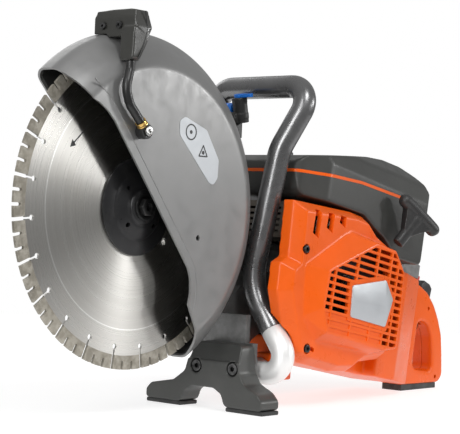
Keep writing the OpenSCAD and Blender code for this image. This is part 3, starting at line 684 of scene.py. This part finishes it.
def make_blade_mark():
    """A small etched arrow that shows which way the blade turns."""
    tail, tip = Vector((83.3, 74.8)), Vector((101.0, 58.1))
    along = (tip - tail).normalized()
    across = Vector((-along.y, along.x))
    outline = [
        tail + across * 0.8, tip - along * 8 + across * 0.8, tip - along * 8 + across * 4.2, tip,
        tip - along * 8 - across * 4.2, tip - along * 8 - across * 0.8, tail - across * 0.8,
    ]
    mark = edged(prism([tuple(p) for p in outline], CORE_FACE - 0.1, CORE_FACE + 0.12), 0.08, 1)
    place(mark, "blade_arrow", MACHINE, "blade", "flange_black")


def make_flange():
    profile = [
        (0, 1.4), (12.75, 1.4), (12.75, 1.3), (52.0, 1.3), (52.5, 1.8), (52.5, 3.8), (52.0, 4.2), (37.2, 4.9),
        (36.0, 5.3), (34.6, 6.6), (33.4, 7.0), (24.5, 11.2), (21.5, 12.0), (19.4, 12.0), (19.0, 12.4),
        (18.6, 13.7), (18.0, 14.0), (0, 14.0),
    ]
    disc = lathed([(max(r, 0.01), y) for r, y in profile], 128)
    for k in range(4):
        disc = cut(disc, rod(2.6, 5, 30, polar(27.5, 45 + 90 * k), steps=24))
    place(disc, "clamping_flange", MACHINE, "blade", "flange_black", "outer_flange", sharp=50)


def make_blade_bolt():
    washer = edged(cut(rod(14, 14.02, 16, steps=64), rod(10.2, 15.2, 17, steps=48)), 0.35, 2)
    place(washer, "blade_washer", MACHINE, "blade", "bolt_black")
    head = edged(prism(circle(10.4, 6), 15.2, 21.6), 0.9, 3)
    socket = cut(head, prism(circle(4.6, 6), 18.2, 23))
    place(edged(socket, 0.25, 1, 60), "blade_bolt_head", MACHINE, "blade", "bolt_black", "blade_bolt")


# ---------- guard ----------

GUARD_SHEET = 2.5
GUARD_LEFT = 34
GUARD_FRONT = 47
GUARD_REAR = 242
PLATE_EDGE = [
    (128, 128), (110, 110.5), (93, 104.6), (80, 97), (69, 87), (-53, -64.5), (-57, -75.5), (-58, -91.5),
    (-54, -110.5), (-50.5, -128), (-59.5, -161.5), (-89, -168), (-200, -168), (-200, 200), (128, 200),
]
# Outer line of the guard's section: radius against Y, from the left plate round to the right one
GUARD_SECTION = [
    (140, 34), (150, 34), (165, 26.2), (178, 14.2), (187.6, 3.2), (188, -20.5), (177, -31), (42, -31)
]


def offset_line(line, gap):
    """A line of (radius, y) moved towards the blade by gap."""
    made = []
    for i, p in enumerate(line):
        q = Vector(p)
        before = (q - Vector(line[i - 1])).normalized() if i else None
        after = (Vector(line[i + 1]) - q).normalized() if i < len(line) - 1 else None
        before = before or after
        after = after or before
        normal = Vector((before.y, -before.x)) + Vector((after.y, -after.x))
        normal = normal.normalized()
        stretch = gap / max(0.3, normal.dot(Vector((after.y, -after.x))))
        made.append(tuple(q + normal * stretch))
    return made


def softened(line, radius, steps=5):
    """An open line with each inner corner turned into an arc."""
    made = [line[0]]
    for a, p, b in zip(line, line[1:], line[2:]):
        p = Vector(p)
        u, v = Vector(a) - p, Vector(b) - p
        reach = min(radius, 0.45 * u.length, 0.45 * v.length)
        start, end = p + u.normalized() * reach, p + v.normalized() * reach
        for k in range(steps + 1):
            t = k / steps
            made.append(tuple(start * (1 - t) ** 2 + p * 2 * t * (1 - t) + end * t * t))
    made.append(line[-1])
    return made


def beyond(start, end, radius):
    """A wedge from one polar angle to another, wider than the guard."""
    count = 16
    arc = [polar(radius, start + (end - start) * k / count) for k in range(count + 1)]
    return prism([(0, 0)] + arc, -80, 80)


def guard_shell(outer, inner):
    """The guard's wrapped sheet between two section lines, with the left plate cut to its outline."""
    sheet = turned(outer + inner[::-1], GUARD_FRONT, GUARD_REAR, 150)
    plate = prism(circle(142, 150), inner[0][1], outer[0][1])
    plate = cut(plate, beyond(GUARD_REAR - 360, GUARD_FRONT, 400))
    sheet = joined(sheet, plate)
    front_cut = cut(prism(circle(166, 120), 22, 40), prism(rounded(PLATE_EDGE, 14, 6), 10, 50))
    return cut(sheet, front_cut)


def make_guard():
    line = softened(GUARD_SECTION, 9, 8)
    shell = guard_shell(line, offset_line(line, GUARD_SHEET))
    boss = cut(rod(46, -38, -28.5, steps=96), rod(30.3, -40, -20, steps=96))
    shell = joined(shell, boss)
    shell = edged(shell, 0.7, 3, 38)
    shell = cut(shell, rod(3.05, 28, 40, (32, 79), steps=24), rod(3.2, 28, 40, (-66.5, -30.9), steps=24))
    place(shell, "guard_shell", MACHINE, "guard", "guard_metal", "blade_guard", sharp=42)


def make_guard_lining():
    line = softened(
        [(150, 31.3), (163.6, 24.2), (176.5, 12.4), (185.2, 2), (185.2, -19.4), (175.6, -28.3), (52, -28.3)], 3
    )
    skin = turned(line + offset_line(line, 0.8)[::-1], GUARD_FRONT + 1.2, GUARD_REAR - 1, 120)
    place(skin, "guard_lining", MACHINE, "guard", "pad_rubber", "guard_liner", sharp=50)


def make_guard_rib():
    """The pressed line along the plate's cut edge."""
    edge = [(101, 128), (74, 108.5), (60, 92), (-61.5, -58.5), (-66.5, -74), (-67.5, -92), (-63.5, -112)]
    path = [Vector((x, 33.75, z)) for x, z in softened(edge, 16, 8)]
    place(tube(path, 0.75, 12, (0, 1, 0)), "guard_edge_rib", MACHINE, "guard", "guard_metal")


def make_label():
    """A plain plate with two generic pictograms, in place of the printed one."""
    outline = [(-29, 95), (-38, 100), (-74, 88), (-96, 56), (-95, 36), (-88, 27.5), (-80, 31), (-30, 80)]
    plate = edged(prism(rounded(outline, 7, 6), GUARD_LEFT - 0.2, GUARD_LEFT + 0.35), 0.12, 1)
    place(plate, "guard_label", MACHINE, "guard", "plate_silver")
    across = Vector((-0.70, -0.71))
    for k, sign in enumerate(("ring", "triangle")):
        middle = Vector((-48, 84)) + across * (30 * k)
        outer = circle(9, 40, middle) if sign == "ring" else circle(9.5, 3, middle, 90)
        inner = circle(7.4, 40, middle) if sign == "ring" else circle(6.4, 3, middle, 90)
        mark = cut(
            prism(rounded(outer, 1.2, 3) if k else outer, GUARD_LEFT + 0.3, GUARD_LEFT + 0.5),
            prism(inner, GUARD_LEFT, GUARD_LEFT + 1),
        )
        dot = rod(2.2, GUARD_LEFT + 0.3, GUARD_LEFT + 0.5, tuple(middle), steps=20)
        place(group([mark, dot]), "guard_label_" + sign, MACHINE, "guard", "flange_black")


def guard_outside():
    """A solid that follows the guard's outside with a little air, to fit pieces against."""
    line = [(0.01, -36), (188.4, -36), (188.4, 3.4), (178.6, 14.6), (165.5, 26.7), (150.4, 34.4), (0.01, 34.4)]
    return lathed(line, 200)


def make_guard_handle():
    block = hull([
        (x, y, z)
        for x, y, z in [
            (34, -14, 176), (58, -14, 176), (58, -14, 196), (57, -11, 203.5), (36, -11, 203.5), (34, -14, 196),
            (34, 42, 176), (58, 42, 176), (58, 45, 196), (56, 44, 203.6), (38, 44, 203.6), (34, 47.5, 186),
            (36, 10, 204.8), (56, 10, 204.8), (36, 36, 204.9), (55, 36, 204.9), (46, 47.8, 180), (
                56, 47.8, 186
            ),
        ]
    ])
    leg = hull([
        (59, 26.5, 186), (59, 26.5, 151), (61, 30, 150.2), (61, 42, 150.2), (60, 46, 154), (60, 47, 186),
        (38, 26.5, 190), (48, 26.5, 151), (46, 40, 150.5), (49, 46, 154), (38, 47.8, 182), (40, 47.8, 172),
    ])
    body = cut(joined(block, leg), guard_outside())
    for y in (0, 23.5):
        body = cut(body, rod(4.1, 57.2, 70, (y, 188), "x", 32))
    place(moulded(body, 0.9, 5), "guard_grip", MACHINE, "guard", "grey_plastic", "guard_handle")
    seam = [Vector((x, 47.2, z)) for x, z in softened([(45, 203), (41, 186), (46, 168), (53, 152)], 8)]
    place(tube(seam, 0.7, 10, (0, 1, 0)), "guard_grip_seam", MACHINE, "guard", "black_plastic")


FRONT_HOSE = [
    ((57, 40.2, 149.6), 0), ((57, 40.2, 142), 10), ((65, 42.5, 122), 20), ((58, 42.5, 105), 16),
    ((41.5, 42.5, 88.5), 0),
]
FEED_HOSE = [
    ((-186.9, -31, 113.4), 0), ((-140, -39, 124), 60), ((-62, -39, 170), 60), ((-28, -38, 185), 16),
    ((-8, -24, 195), 16), ((6, -6, 195.5), 16), ((32.9, -6, 195.5), 0),
]
HOSE_R = 4.9


def make_hoses():
    front = tube(bent_line(FRONT_HOSE, 14), HOSE_R, 32)
    feed = tube(bent_line(FEED_HOSE, 14), HOSE_R, 32)
    place(group([front, feed]), "hoses", MACHINE, "guard", "hose_rubber", "water_hose", sharp=60)
    end, before = Vector(FRONT_HOSE[-1][0]), Vector(FRONT_HOSE[-2][0])
    along = (end - before).normalized()

    def collar(t):
        return 6.35 if (t < 0.28 or t > 0.72) else 5.8

    path = [end + along * (5.2 * k / 12) for k in range(13)]
    place(tube(path, collar, 32), "hose_collar", MACHINE, "guard", "brass", "hose_fittings", sharp=60)
    ring = edged(
        cut(rod(8.2, GUARD_LEFT + 0.5, 44.5, (32, 79), steps=48), rod(5.4, 43.6, 60, (32, 79))), 0.8, 3
    )
    neck = tube([Vector((39.4, 41.0, 86.4)), Vector((34, 40.0, 81))], 5.2, 24)
    banjo = joined(ring, neck)
    place(banjo, "hose_elbow", MACHINE, "guard", "black_plastic", "hose_banjo")
    screw = cut(edged(rod(5.1, 43.7, 47.8, (32, 79)), 0.6, 3), prism(circle(2.6, 6, (32, 79)), 45, 50))
    place(screw, "hose_elbow_screw", MACHINE, "guard", "machined_steel")


# ---------- front handle ----------

WAIST = Vector((-197, 4, -86))
LOW_BEND = Vector((-190, 82, -184))
JUNCTION = WAIST + (LOW_BEND - WAIST) * 0.5
HANDLE_LINE = [
    (JUNCTION, 0), (WAIST, 70), ((-205, 34, 75), 60), ((-228, 66, 150.5), 24), ((-228, -84, 150.5), 26),
    ((-240, -97, -8), 34), ((-444.3, -97, -44.05), 0),
]
ELBOW_LINE = [(JUNCTION, 0), (LOW_BEND, 20), ((-190, -4, -185), 22), ((-233, -4, -185), 0)]
TUBE_R = 13.45


def make_front_handle():
    coated = tube(bent_line(HANDLE_LINE, 18), TUBE_R, 48)
    place(
        edged(coated, 0.6, 2, 60), "front_handle_tube", MACHINE, "machine", "tube_coating", "front_handle",
        sharp=60
    )
    bare = tube(bent_line(ELBOW_LINE, 16), TUBE_R, 48)
    place(
        edged(bare, 0.8, 2, 60), "front_handle_elbow", MACHINE, "machine", "bare_tube", "handle_elbow", sharp=60
    )


# ---------- foot ----------

FOOT_FRONT = -133
FOOT_BACK = -165
FOOT_MIDDLE = -9
GROUND = -226.7


# The foot from the front as (y, z): the column stands a little to the left of the middle
FOOT_OUTLINE = [
    (-31, -150.4), (40, -150.4), (42, -163), (44.5, -182), (52, -194), (71, -203), (78.4, -211), (78.6, -221.8),
    (24, -221.8), (19, -208), (7, -201.5), (-25, -201.5), (-37, -208), (-42, -221.8), (-96.6, -221.8),
    (-96.4, -211), (-89, -203.5), (-54, -197), (-37, -185), (-31, -165),
]


def make_foot():
    body = prism(rounded(FOOT_OUTLINE, 9, 6), FOOT_BACK, FOOT_FRONT, "x")
    # Above the bolts the column's front leans back
    lean = prism(
        [(FOOT_FRONT + 1, -170.5), (FOOT_FRONT - 2, -170.5), (FOOT_FRONT - 10, -151), (FOOT_FRONT - 10, -140),
         (FOOT_FRONT + 1, -140)], -60, 60,
    )
    body = cut(body, lean)
    for y in (-20, 34):
        body = cut(body, rod(8.2, -140, -120, (y, -178), "x"), rod(3.3, -170, -120, (y, -178), "x", 24))
    place(moulded(body, 1.1, 6), "foot_casting", MACHINE, "machine", "foot_metal", "front_foot")
    for k, side in enumerate((-1, 1)):
        middle = FOOT_MIDDLE + side * 61
        sole = rounded(
            [(middle - 27, GROUND), (middle + 27, GROUND), (middle + 27, -221.9), (middle - 27, -221.9)], 1.8
        )
        pad = edged(prism(sole, -164.6, -135.4, "x"), 0.7, 2)
        groove = prism([(-70, -224.4), (70, -224.4), (70, -223.8), (-70, -223.8)], -134.8, -120, "x")
        pad = cut(pad, groove)
        names = ("foot_pads",) if k == 0 else ()
        place(pad, "foot_pad_" + ("right", "left")[k], MACHINE, "machine", "pad_rubber", *names)

# ---------- starter cover ----------

# The cover's outline on the engine, the matched outline of its side face, the foot of the raised part
# and the grille's outline, all as (x, z) in the engine's frame
STARTER_RIM = [
    (124, 90), (11, 99), (-14, 98), (-37, 83), (-62, 77), (-86, 58), (-94, 30), (-96, -52), (-86, -68),
    (-46, -76), (-24, -91), (10, -95), (70, -93), (92, -88), (108, -62), (130, -17), (132, 15), (119, 24),
]
STARTER_FACE = [
    (112, 80), (12, 90), (-12, 89), (-33, 76), (-58, 69), (-79, 52), (-87, 28), (-88, -48), (-80, -60),
    (-42, -68), (-20, -83), (10, -87), (66, -85), (84, -80), (98, -56), (118, -14), (119, 8), (108, 18),
]
BULGE_FOOT = [
    (104, 18), (28, 72), (-56, 68), (-84, 50), (-86, 20), (-87, -52), (-80, -58), (-42, -66), (66, -66), (
        94, -40
    ),
]
GRILLE = [(72, 18), (-19, 67), (-58, 65), (-82, 42), (-86, -3), (-86, -52), (-60, -58), (62, -54), (74, -27)]
NAMEPLATE = [(24, 8), (-43, 26), (-63, 5), (-54, -30), (20, -29)]
GRILLE_COLUMNS = [(73, 60), (57.5, 18), (15, -21.5), (-24.5, -50), (-53, -66), (-69, -84)]
ROW_PITCH = 8.3
SLOT_HEIGHT = 5
SIDE_Y = 72
VENTS = [(91, 52, 86), (66, 63, 87), (42, 74, 88)]
GRILLE_Y = 86


def facing(outline):
    """The outline the anticlockwise way round."""
    return outline if area_of(outline) > 0 else outline[::-1]


def slot_outlines():
    """The grille's slots as (outline, open): rows along x, clipped to the grille."""
    window = inset(facing(GRILLE), 2.6)
    made = []
    for row in range(-7, 9):
        z = row * ROW_PITCH - 2
        for x1, x0 in GRILLE_COLUMNS:
            slot = clipped([(x0, z), (x1, z), (x1, z + SLOT_HEIGHT), (x0, z + SLOT_HEIGHT)], window)
            if len(slot) > 2 and area_of(slot) > 12:
                made.append((slot, z > -34 or x1 < -50))
    return made


def starter_solid():
    body = joined(
        prism(clipped(facing(STARTER_RIM), [(-110, -100), (84, -100), (84, 110), (-110, 110)]), 29, 58),
        prism(STARTER_RIM, 44, 58.2),
        layers([(58, STARTER_RIM), (SIDE_Y, STARTER_FACE)]),
        hull([(x, y, z) for y, ring in ((SIDE_Y - 1, BULGE_FOOT), (GRILLE_Y, GRILLE)) for x, z in ring]),
    )
    scallop = tube([ENGINE.inverted() @ (MACHINE @ p) for p in (WAIST, LOW_BEND)], TUBE_R + 1.5, 48)
    return cut(body, scallop)


def make_starter_cover():
    body = moulded(starter_solid(), 1.3, 6)
    hollow = joined(
        prism([(1 + x * 0.95, z * 0.95) for x, z in STARTER_RIM], 20, 57.4),
        prism([(x * 0.86, z * 0.86) for x, z in STARTER_RIM], 50, 66),
    )
    fan_room = cut(prism(inset(facing(GRILLE), 3), 60, GRILLE_Y - 3.2), rod(6, 50, 90))
    body = cut(body, hollow, fan_room)
    for x, low, high in VENTS:
        mouth = [(x - 7, low), (x + 7, low + 5), (x + 6, high), (x - 7, high + 0.5)]
        floor = [(x - 6.5, low + 3), (x - 2, low + 5), (x - 2, high - 1), (x - 6.5, high - 1)]
        body = cut(body, layers([(SIDE_Y - 10, floor), (SIDE_Y + 1.5, mouth)]))
    for slot, through in slot_outlines():
        body = cut(body, prism(slot, 76 if through else GRILLE_Y - 1.1, 95))
    backing = prism(rounded([(29, 13), (-45, 32), (-69, 7), (-59, -35), (25, -34)], 4), 81, GRILLE_Y - 0.3)
    body = joined(body, backing)
    # Screw seats, and the slot below the raised part
    for x, z in ((104, 36), (76, -76)):
        body = cut(body, rod(6.2, SIDE_Y - 2.5, SIDE_Y + 4, (x, z)), rod(2.6, 40, 80, (x, z)))
    body = cut(body, prism(rounded([(70, -72), (62, -74), (62, -79), (70, -77)], 2), SIDE_Y - 5, SIDE_Y + 3))
    place(body, "starter_shell", ENGINE, "machine", "orange_plastic", "starter_cover", sharp=40)


def make_air_guide():
    """The dark plate between the fan and the grille, open in its middle for the starter."""
    outline = rounded([(x * 0.84, z * 0.84) for x, z in facing(STARTER_RIM)], 4)
    guide = cut(prism(outline, 56.4, 58.4), rod(15, 50, 70, steps=48))
    place(edged(guide, 0.5, 2), "starter_air_guide", ENGINE, "machine", "black_plastic")


def make_nameplate():
    plate = edged(prism(rounded(NAMEPLATE, 3.5), GRILLE_Y - 0.4, GRILLE_Y + 1.3), 0.5, 2)
    line = prism([(16, -9), (-50, -5), (-50, -5.9), (16, -9.9)], GRILLE_Y + 1.1, GRILLE_Y + 2)
    place(cut(plate, line), "starter_plate", ENGINE, "machine", "plate_silver", "nameplate")


def socket_screw(x, z, seat, out, head=4.5, shank=20):
    """A cap screw along Y with its head standing out from the seat."""
    top = seat + out * 4
    cap = edged(rod(head, min(seat, top), max(seat, top), (x, z), steps=32), 0.6, 2)
    cap = cut(
        cap, prism(circle(2.3, 6, (x, z)), min(top - out * 2.4, top + out), max(top - out * 2.4, top + out))
    )
    end = seat - out * shank
    return joined(cap, rod(2.4, min(end, seat + out), max(end, seat + out), (x, z), steps=24))


def make_cover_screws():
    screws = [socket_screw(x, z, SIDE_Y - 2.5, 1) for x, z in ((104, 36), (76, -76))]
    screws += [socket_screw(x, z, -106.4, -1) for x, z in ((-7, 38), (-38, -7), (7, -38))]
    place(group(screws), "cover_screws_detail", ENGINE, "machine", "bolt_black", "cover_screws")


# ---------- upper covers ----------

COVER_SIDE = [
    (106, 132), (99, 101), (-16, 101), (-40, 90), (-64, 82), (-96, 62), (-150, 62), (-165, 86), (-168, 130),
    (-168, 150), (-158, 162), (-146, 178), (-125, 187), (-88, 187), (-37, 179), (50, 160), (94, 150), (
        106, 140
    ),
]
COVER_END = [
    (-80, 50), (-80, 140), (-70, 166), (-40, 188), (24, 188), (52, 168), (62, 142), (62, 50),
]
COVER_PLAN = [
    (106, 38), (100, 44), (60, 60), (-150, 62), (-168, 50), (-168, -68), (-150, -80), (60, -78), (100, -64),
    (106, -58),
]
COVER_WALL = 3
# Upper and lower edge of the orange line, which is also where the two covers part
LINE_TOP = [(115, 130.4), (100, 131.6), (-1, 140), (-96, 140.4), (-129, 131), (-180, 129)]
LINE_BELOW = [(115, 126.4), (100, 127.6), (-1, 136), (-90, 136.4), (-131, 121), (-180, 117)]


def cover_block(gap):
    """The solid that both covers are parts of, or its inside when gap is the wall."""
    plan = rounded(inset(facing(COVER_PLAN), gap), 12, 6)
    return common(
        prism(rounded(inset(facing(COVER_SIDE), gap), 14, 5), -90, 70),
        prism(plan, 40, 196, "z"),
        prism(rounded(inset(facing(COVER_END), gap), 16, 5), -180, 120, "x"),
    )


def make_covers():
    """The dark engine cover, the lid over the air filter, and the orange line between them."""
    whole = cut(moulded(cover_block(0), 1.5, 8), cover_block(COVER_WALL))
    parts = []
    for outline in (
        [(115, 200), (-180, 200)] + LINE_TOP[::-1],
        [(p[0], p[1] - 0.15) for p in LINE_TOP] + [(p[0], p[1] + 0.15) for p in LINE_BELOW[::-1]],
        LINE_BELOW + [(-180, 30), (115, 30)],
    ):
        part = bpy.data.objects.new("piece", whole.data.copy())
        bpy.context.scene.collection.objects.link(part)
        parts.append(common(part, prism(outline, -100, 80)))
    bpy.data.objects.remove(whole)
    lid, line, shroud = parts
    lid = cut(lid, rod(8.6, 140, 170, (62, -12), "z"))
    place(lid, "filter_lid", ENGINE, "machine", "dark_plastic", "top_cover", sharp=40)
    place(line, "cover_stripe", ENGINE, "machine", "orange_plastic", sharp=40)
    place(shroud, "engine_shroud", ENGINE, "machine", "dark_plastic", "engine_cover", sharp=40)


def make_button():
    cap = edged(rod(8, 141, 161.5, (62, -12), "z", 48), 1.4, 3)
    stem = rod(3, 135, 142, (62, -12), "z", 24)
    place(
        joined(cap, stem), "decompression_cap", ENGINE, "decompression_button", "black_plastic",
        "decompression_button"
    )


# ---------- tank and rear grip ----------

TANK_REAR = [(-104, -88), (-206, -88), (-216, -78), (-216, 44), (-210, 50.8), (-116, 53), (-104, 40)]
TANK_PLAN = [(-90, 46), (-150, 46), (-204, 29), (-216, 16), (-230, -8), (-230, -70), (-90, -70)]
SHELF = [(46, -62), (46, -84), (40, -89), (-106, -88), (-106, -62)]
GRIP_OUTER = [
    (-216.3, 46), (-240, 50), (-262, 43), (-282, 29), (-297, 12), (-310, -8), (-318, -34), (-325, -62),
    (-318, -72.6), (-226, -87.6), (-216.3, -84),
]
GRIP_WINDOW = [
    (-247, 1), (-262, 3), (-274, -1), (-284, -13), (-291, -34), (-296, -54), (-290, -61), (-255, -63), (
        -247, -56
    ),
]
GRIP_Y = -9
GRIP_HALF = 17


def make_tank():
    rear = common(
        prism(rounded(facing(TANK_REAR), 8), -60, 46), prism(rounded(facing(TANK_PLAN), 8), -100, 70, "z")
    )
    shelf = prism(SHELF, -60, 28.4)
    body = moulded(joined(rear, shelf), 1.7, 8)
    arm = prism([(-146, 38), (-124, 38), (-124, 56), (-146, 56)], -110.5, -58)
    arm = joined(arm, prism([(-146, 38), (-124, 38), (-124, 86), (-146, 86)], -110.5, -84))
    neck = rod(22, -66, -58, (-150, -20), steps=64)
    lug = prism([(-275, -18), (-233.3, -18), (-233.3, 10), (-275, 10)], -199, -166, "z")
    moved(lug, ENGINE.inverted() @ MACHINE)
    body = joined(body, edged(arm, 2.5, 3), edged(neck, 1, 2), edged(lug, 2.5, 3))
    seam = prism([(-217, -20.6), (-103, -20.6), (-103, -21.6), (-217, -21.6)], 45.2, 50)
    place(cut(body, seam), "tank_unit", ENGINE, "machine", "orange_plastic", "fuel_tank", sharp=40)


def make_rear_grip():
    outer = rounded(facing(GRIP_OUTER), 14, 5)
    window = rounded(facing(GRIP_WINDOW), 9, 5)
    body = cut(prism(outer, GRIP_Y - GRIP_HALF, GRIP_Y + GRIP_HALF), prism(window, -40, 40))
    body = moulded(body, 1.7, 14)
    trigger_slot = prism([(-272, -3), (-239.8, -3), (-239.8, 27), (-272, 27)], GRIP_Y - 6, GRIP_Y + 6)
    lockout_slot = prism([(-289, 15), (-256, 15), (-256, 62), (-289, 62)], GRIP_Y - 7, GRIP_Y + 7)
    body = cut(body, trigger_slot, lockout_slot)
    for x, z in GRIP_SCREWS:
        body = cut(body, rod(2.6, 1, 20, (x, z), steps=24))
    seam = prism([(-330, 70), (-200, 70), (-200, -100), (-330, -100)], GRIP_Y - 0.35, GRIP_Y + 0.35)
    groove = cut(seam, moulded_core(outer, window))
    body = cut(body, groove)
    place(body, "rear_grip", ENGINE, "machine", "orange_plastic", "rear_handle", sharp=40)


GRIP_SCREWS = [(-232, 18), (-268, 22), (-232, -72), (-306, -66)]


def moulded_core(outer, window):
    """What lies deeper than the seam's groove inside the grip."""
    core = prism(rounded(inset(facing(GRIP_OUTER), 1.1), 12, 5), -30, 30)
    return cut(core, prism(rounded(inset(facing(GRIP_WINDOW), -1.1), 9, 5), -40, 40))


def make_trigger():
    outline = [
        (-241, 24), (-248.5, 24), (-249, 3), (-266, 0), (-264, -8), (-256, -13), (-249, -12), (-247.6, -2),
        (-241, 4)
    ]
    blade = cut(prism(rounded(outline, 2.2, 4), -14, -4), rod(1.5, -30, 10, (-244.5, 20), steps=24))
    place(edged(blade, 1.2, 3), "trigger", ENGINE, "throttle_trigger", "grey_plastic", "throttle_trigger")
    outline = [(-259, 24), (-283, 24), (-286.5, 52), (-280, 57), (-265, 60), (-259, 52)]
    pad = edged(prism(rounded(outline, 3, 4), -15, -3), 1.5, 3)
    place(pad, "lockout_paddle", ENGINE, "throttle_lockout", "black_plastic", "throttle_lockout")


def make_controls():
    slider = edged(prism([(-209, 18), (-199, 18), (-199, 26), (-209, 26)], 51.2, 57.2, "z"), 1.2, 3)
    for k in range(3):
        x = -207 + 3 * k
        slider = cut(slider, prism([(x, 10), (x + 1, 10), (x + 1, 34), (x, 34)], 56.4, 60, "z"))
    place(slider, "switch_slider", ENGINE, "stop_switch", "red_plastic", "stop_switch")
    knob = edged(rod(9, 52.2, 59.2, (-190, -30), "z", 48), 1.6, 3)
    for k in range(10):
        a = polar(9.9, 36 * k)
        knob = cut(knob, rod(1.8, 50, 62, (-190 + a[0], -30 + a[1]), "z", 16))
    place(knob, "choke_dial", ENGINE, "choke_knob", "black_plastic", "choke_knob")
    cap = rod(24, -78, -66.3, (-150, -20), steps=72)
    cap = edged(cap, 1.8, 3)
    for k in range(12):
        a = polar(25, 30 * k)
        cap = cut(cap, rod(2.4, -80, -64, (-150 + a[0], -20 + a[1]), steps=20))
    cap = cut(cap, rod(12, -79, -76.5, (-150, -20), steps=48))
    cap = joined(cap, rod(16.9, -67, -58, (-150, -20), steps=48))
    place(cap, "fuel_cap_detail", ENGINE, "fuel_cap", "black_plastic", "fuel_cap")


# ---------- pull handle ----------

ROPE_EXIT = Vector((-73, 75, 76))
ROPE_DIR = Vector((-0.45, 0.24, 0.85)).normalized()
BAR_DIR = Vector((0.4, 1, 0)).cross(ROPE_DIR).normalized()
BAR_HEIGHT = 49


def make_pull_handle():
    frame_turn = Matrix((BAR_DIR, ROPE_DIR.cross(BAR_DIR), ROPE_DIR)).transposed().to_4x4()
    on_rope = Matrix.Translation(ROPE_EXIT) @ frame_turn
    stem = loft([[(r * math.cos(a) * 1.1, r * math.sin(a), z)
                 for a in (2 * math.pi * k / 40 for k in range(40))]
                 for z, r in ((1, 6), (2, 6.9), (17, 7), (30, 7.6), (40, 8.6), (50, 8.2))])
    bar = tube(
        [
            Vector((35.2 * math.sin(math.pi * (k / 24 - 0.5)), 0,
                   BAR_HEIGHT - 1.5 * (k / 12 - 1) ** 2))
            for k in range(25)
        ],
        lambda t: 8.7 * math.sqrt(max(0.01, 1 - max(0, 1 - min(t, 1 - t) / 0.12) ** 2)), 36, (0, 1, 0),
    )
    web = hull([(x, y, z) for x in (-23, 23) for y in (-6.5, 6.5) for z in (44, 50)]
               + [(x, y, 20) for x in (-7.5, 7.5) for y in (-5.5, 5.5)])
    handle = moved(moulded(joined(stem, bar, web), 1.0, 7), on_rope)
    place(handle, "pull_handle", ENGINE, "starter_handle", "black_plastic", "starter_handle", sharp=60)


# ---------- water valve ----------

VALVE = Vector((-205.4, -26, 107))
VALVE_TILT = math.radians(12)


def make_valve():
    upright = Matrix.Translation(VALVE) @ Matrix.Rotation(VALVE_TILT, 4, "Y")
    barrel = moved(joined(rod(8.9, 0, 30, axis="z", steps=48), rod(9.4, 5, 11, axis="z", steps=48),
                          rod(9.4, 24, 29, axis="z", steps=8)), upright)
    boss = moved(rod(6.5, 0, 14, axis="z"), Matrix.Translation(VALVE + Vector((3, -5, 0.8)))
                 @ Matrix.Rotation(math.radians(68.2), 4, "Y"))
    bracket = moved(joined(
        prism([(-8, -7), (8, -7), (8, -5), (-8, -5)], -10, 20, "z"),
        prism([(-8, -7), (62, -7), (62, -5), (-8, -5)], -18, -1, "z"),
    ), Matrix.Translation(VALVE))
    body = moulded(joined(barrel, boss, bracket), 0.7, 3)
    place(body, "valve_body", MACHINE, "guard", "black_plastic", "water_valve")
    inlet = edged(
        cut(joined(rod(7.5, -25, -9), rod(7.9, -24, -20), rod(7.9, -17, -13)), rod(4, -30, -12)), 0.4, 2
    )
    moved(inlet, upright @ Matrix.Translation((0, 0, 16)))
    place(inlet, "inlet_coupling", MACHINE, "guard", "blue_plastic", "water_inlet")
    lever = joined(
        rod(6, 30.3, 34.3, axis="z"),
        prism(rounded([(-4, -3), (4, -3), (3, 20), (-3, 20)], 2.5), 30.3, 34.3, "z")
    )
    lever = moved(edged(lever, 0.9, 3), upright)
    place(lever, "tap_arm", MACHINE, "tap_lever", "blue_plastic", "tap_lever")


# ---------- the CAD parts that stay ----------

SOFT_EDGE = 0.0005


def dress_cad_nodes():
    """Every CAD part gets its finish, and a small bevel where its edges are sharp."""
    slots = {part["node"]: part["material_slot"] for part in frame["record"]["subparts"]}
    for name, slot in slots.items():
        part = bpy.data.objects[name]
        if not part.material_slots:
            part.data.materials.append(FINISHES[slot])
        for held in part.material_slots:
            held.material = FINISHES[slot]
        edge = part.modifiers.new("edge", "BEVEL")
        edge.width = SOFT_EDGE
        edge.segments = 2
        edge.limit_method = "ANGLE"
        edge.angle_limit = math.radians(40)


make_camera()
make_studio()
make_blade_mark()
make_flange()
make_blade_bolt()
make_guard()
make_guard_lining()
make_guard_rib()
make_label()
make_guard_handle()
make_hoses()
make_front_handle()
make_foot()
make_starter_cover()
make_air_guide()
make_nameplate()
make_cover_screws()
make_covers()
make_button()
make_tank()
make_rear_grip()
make_trigger()
make_controls()
make_pull_handle()
make_valve()
dress_cad_nodes()
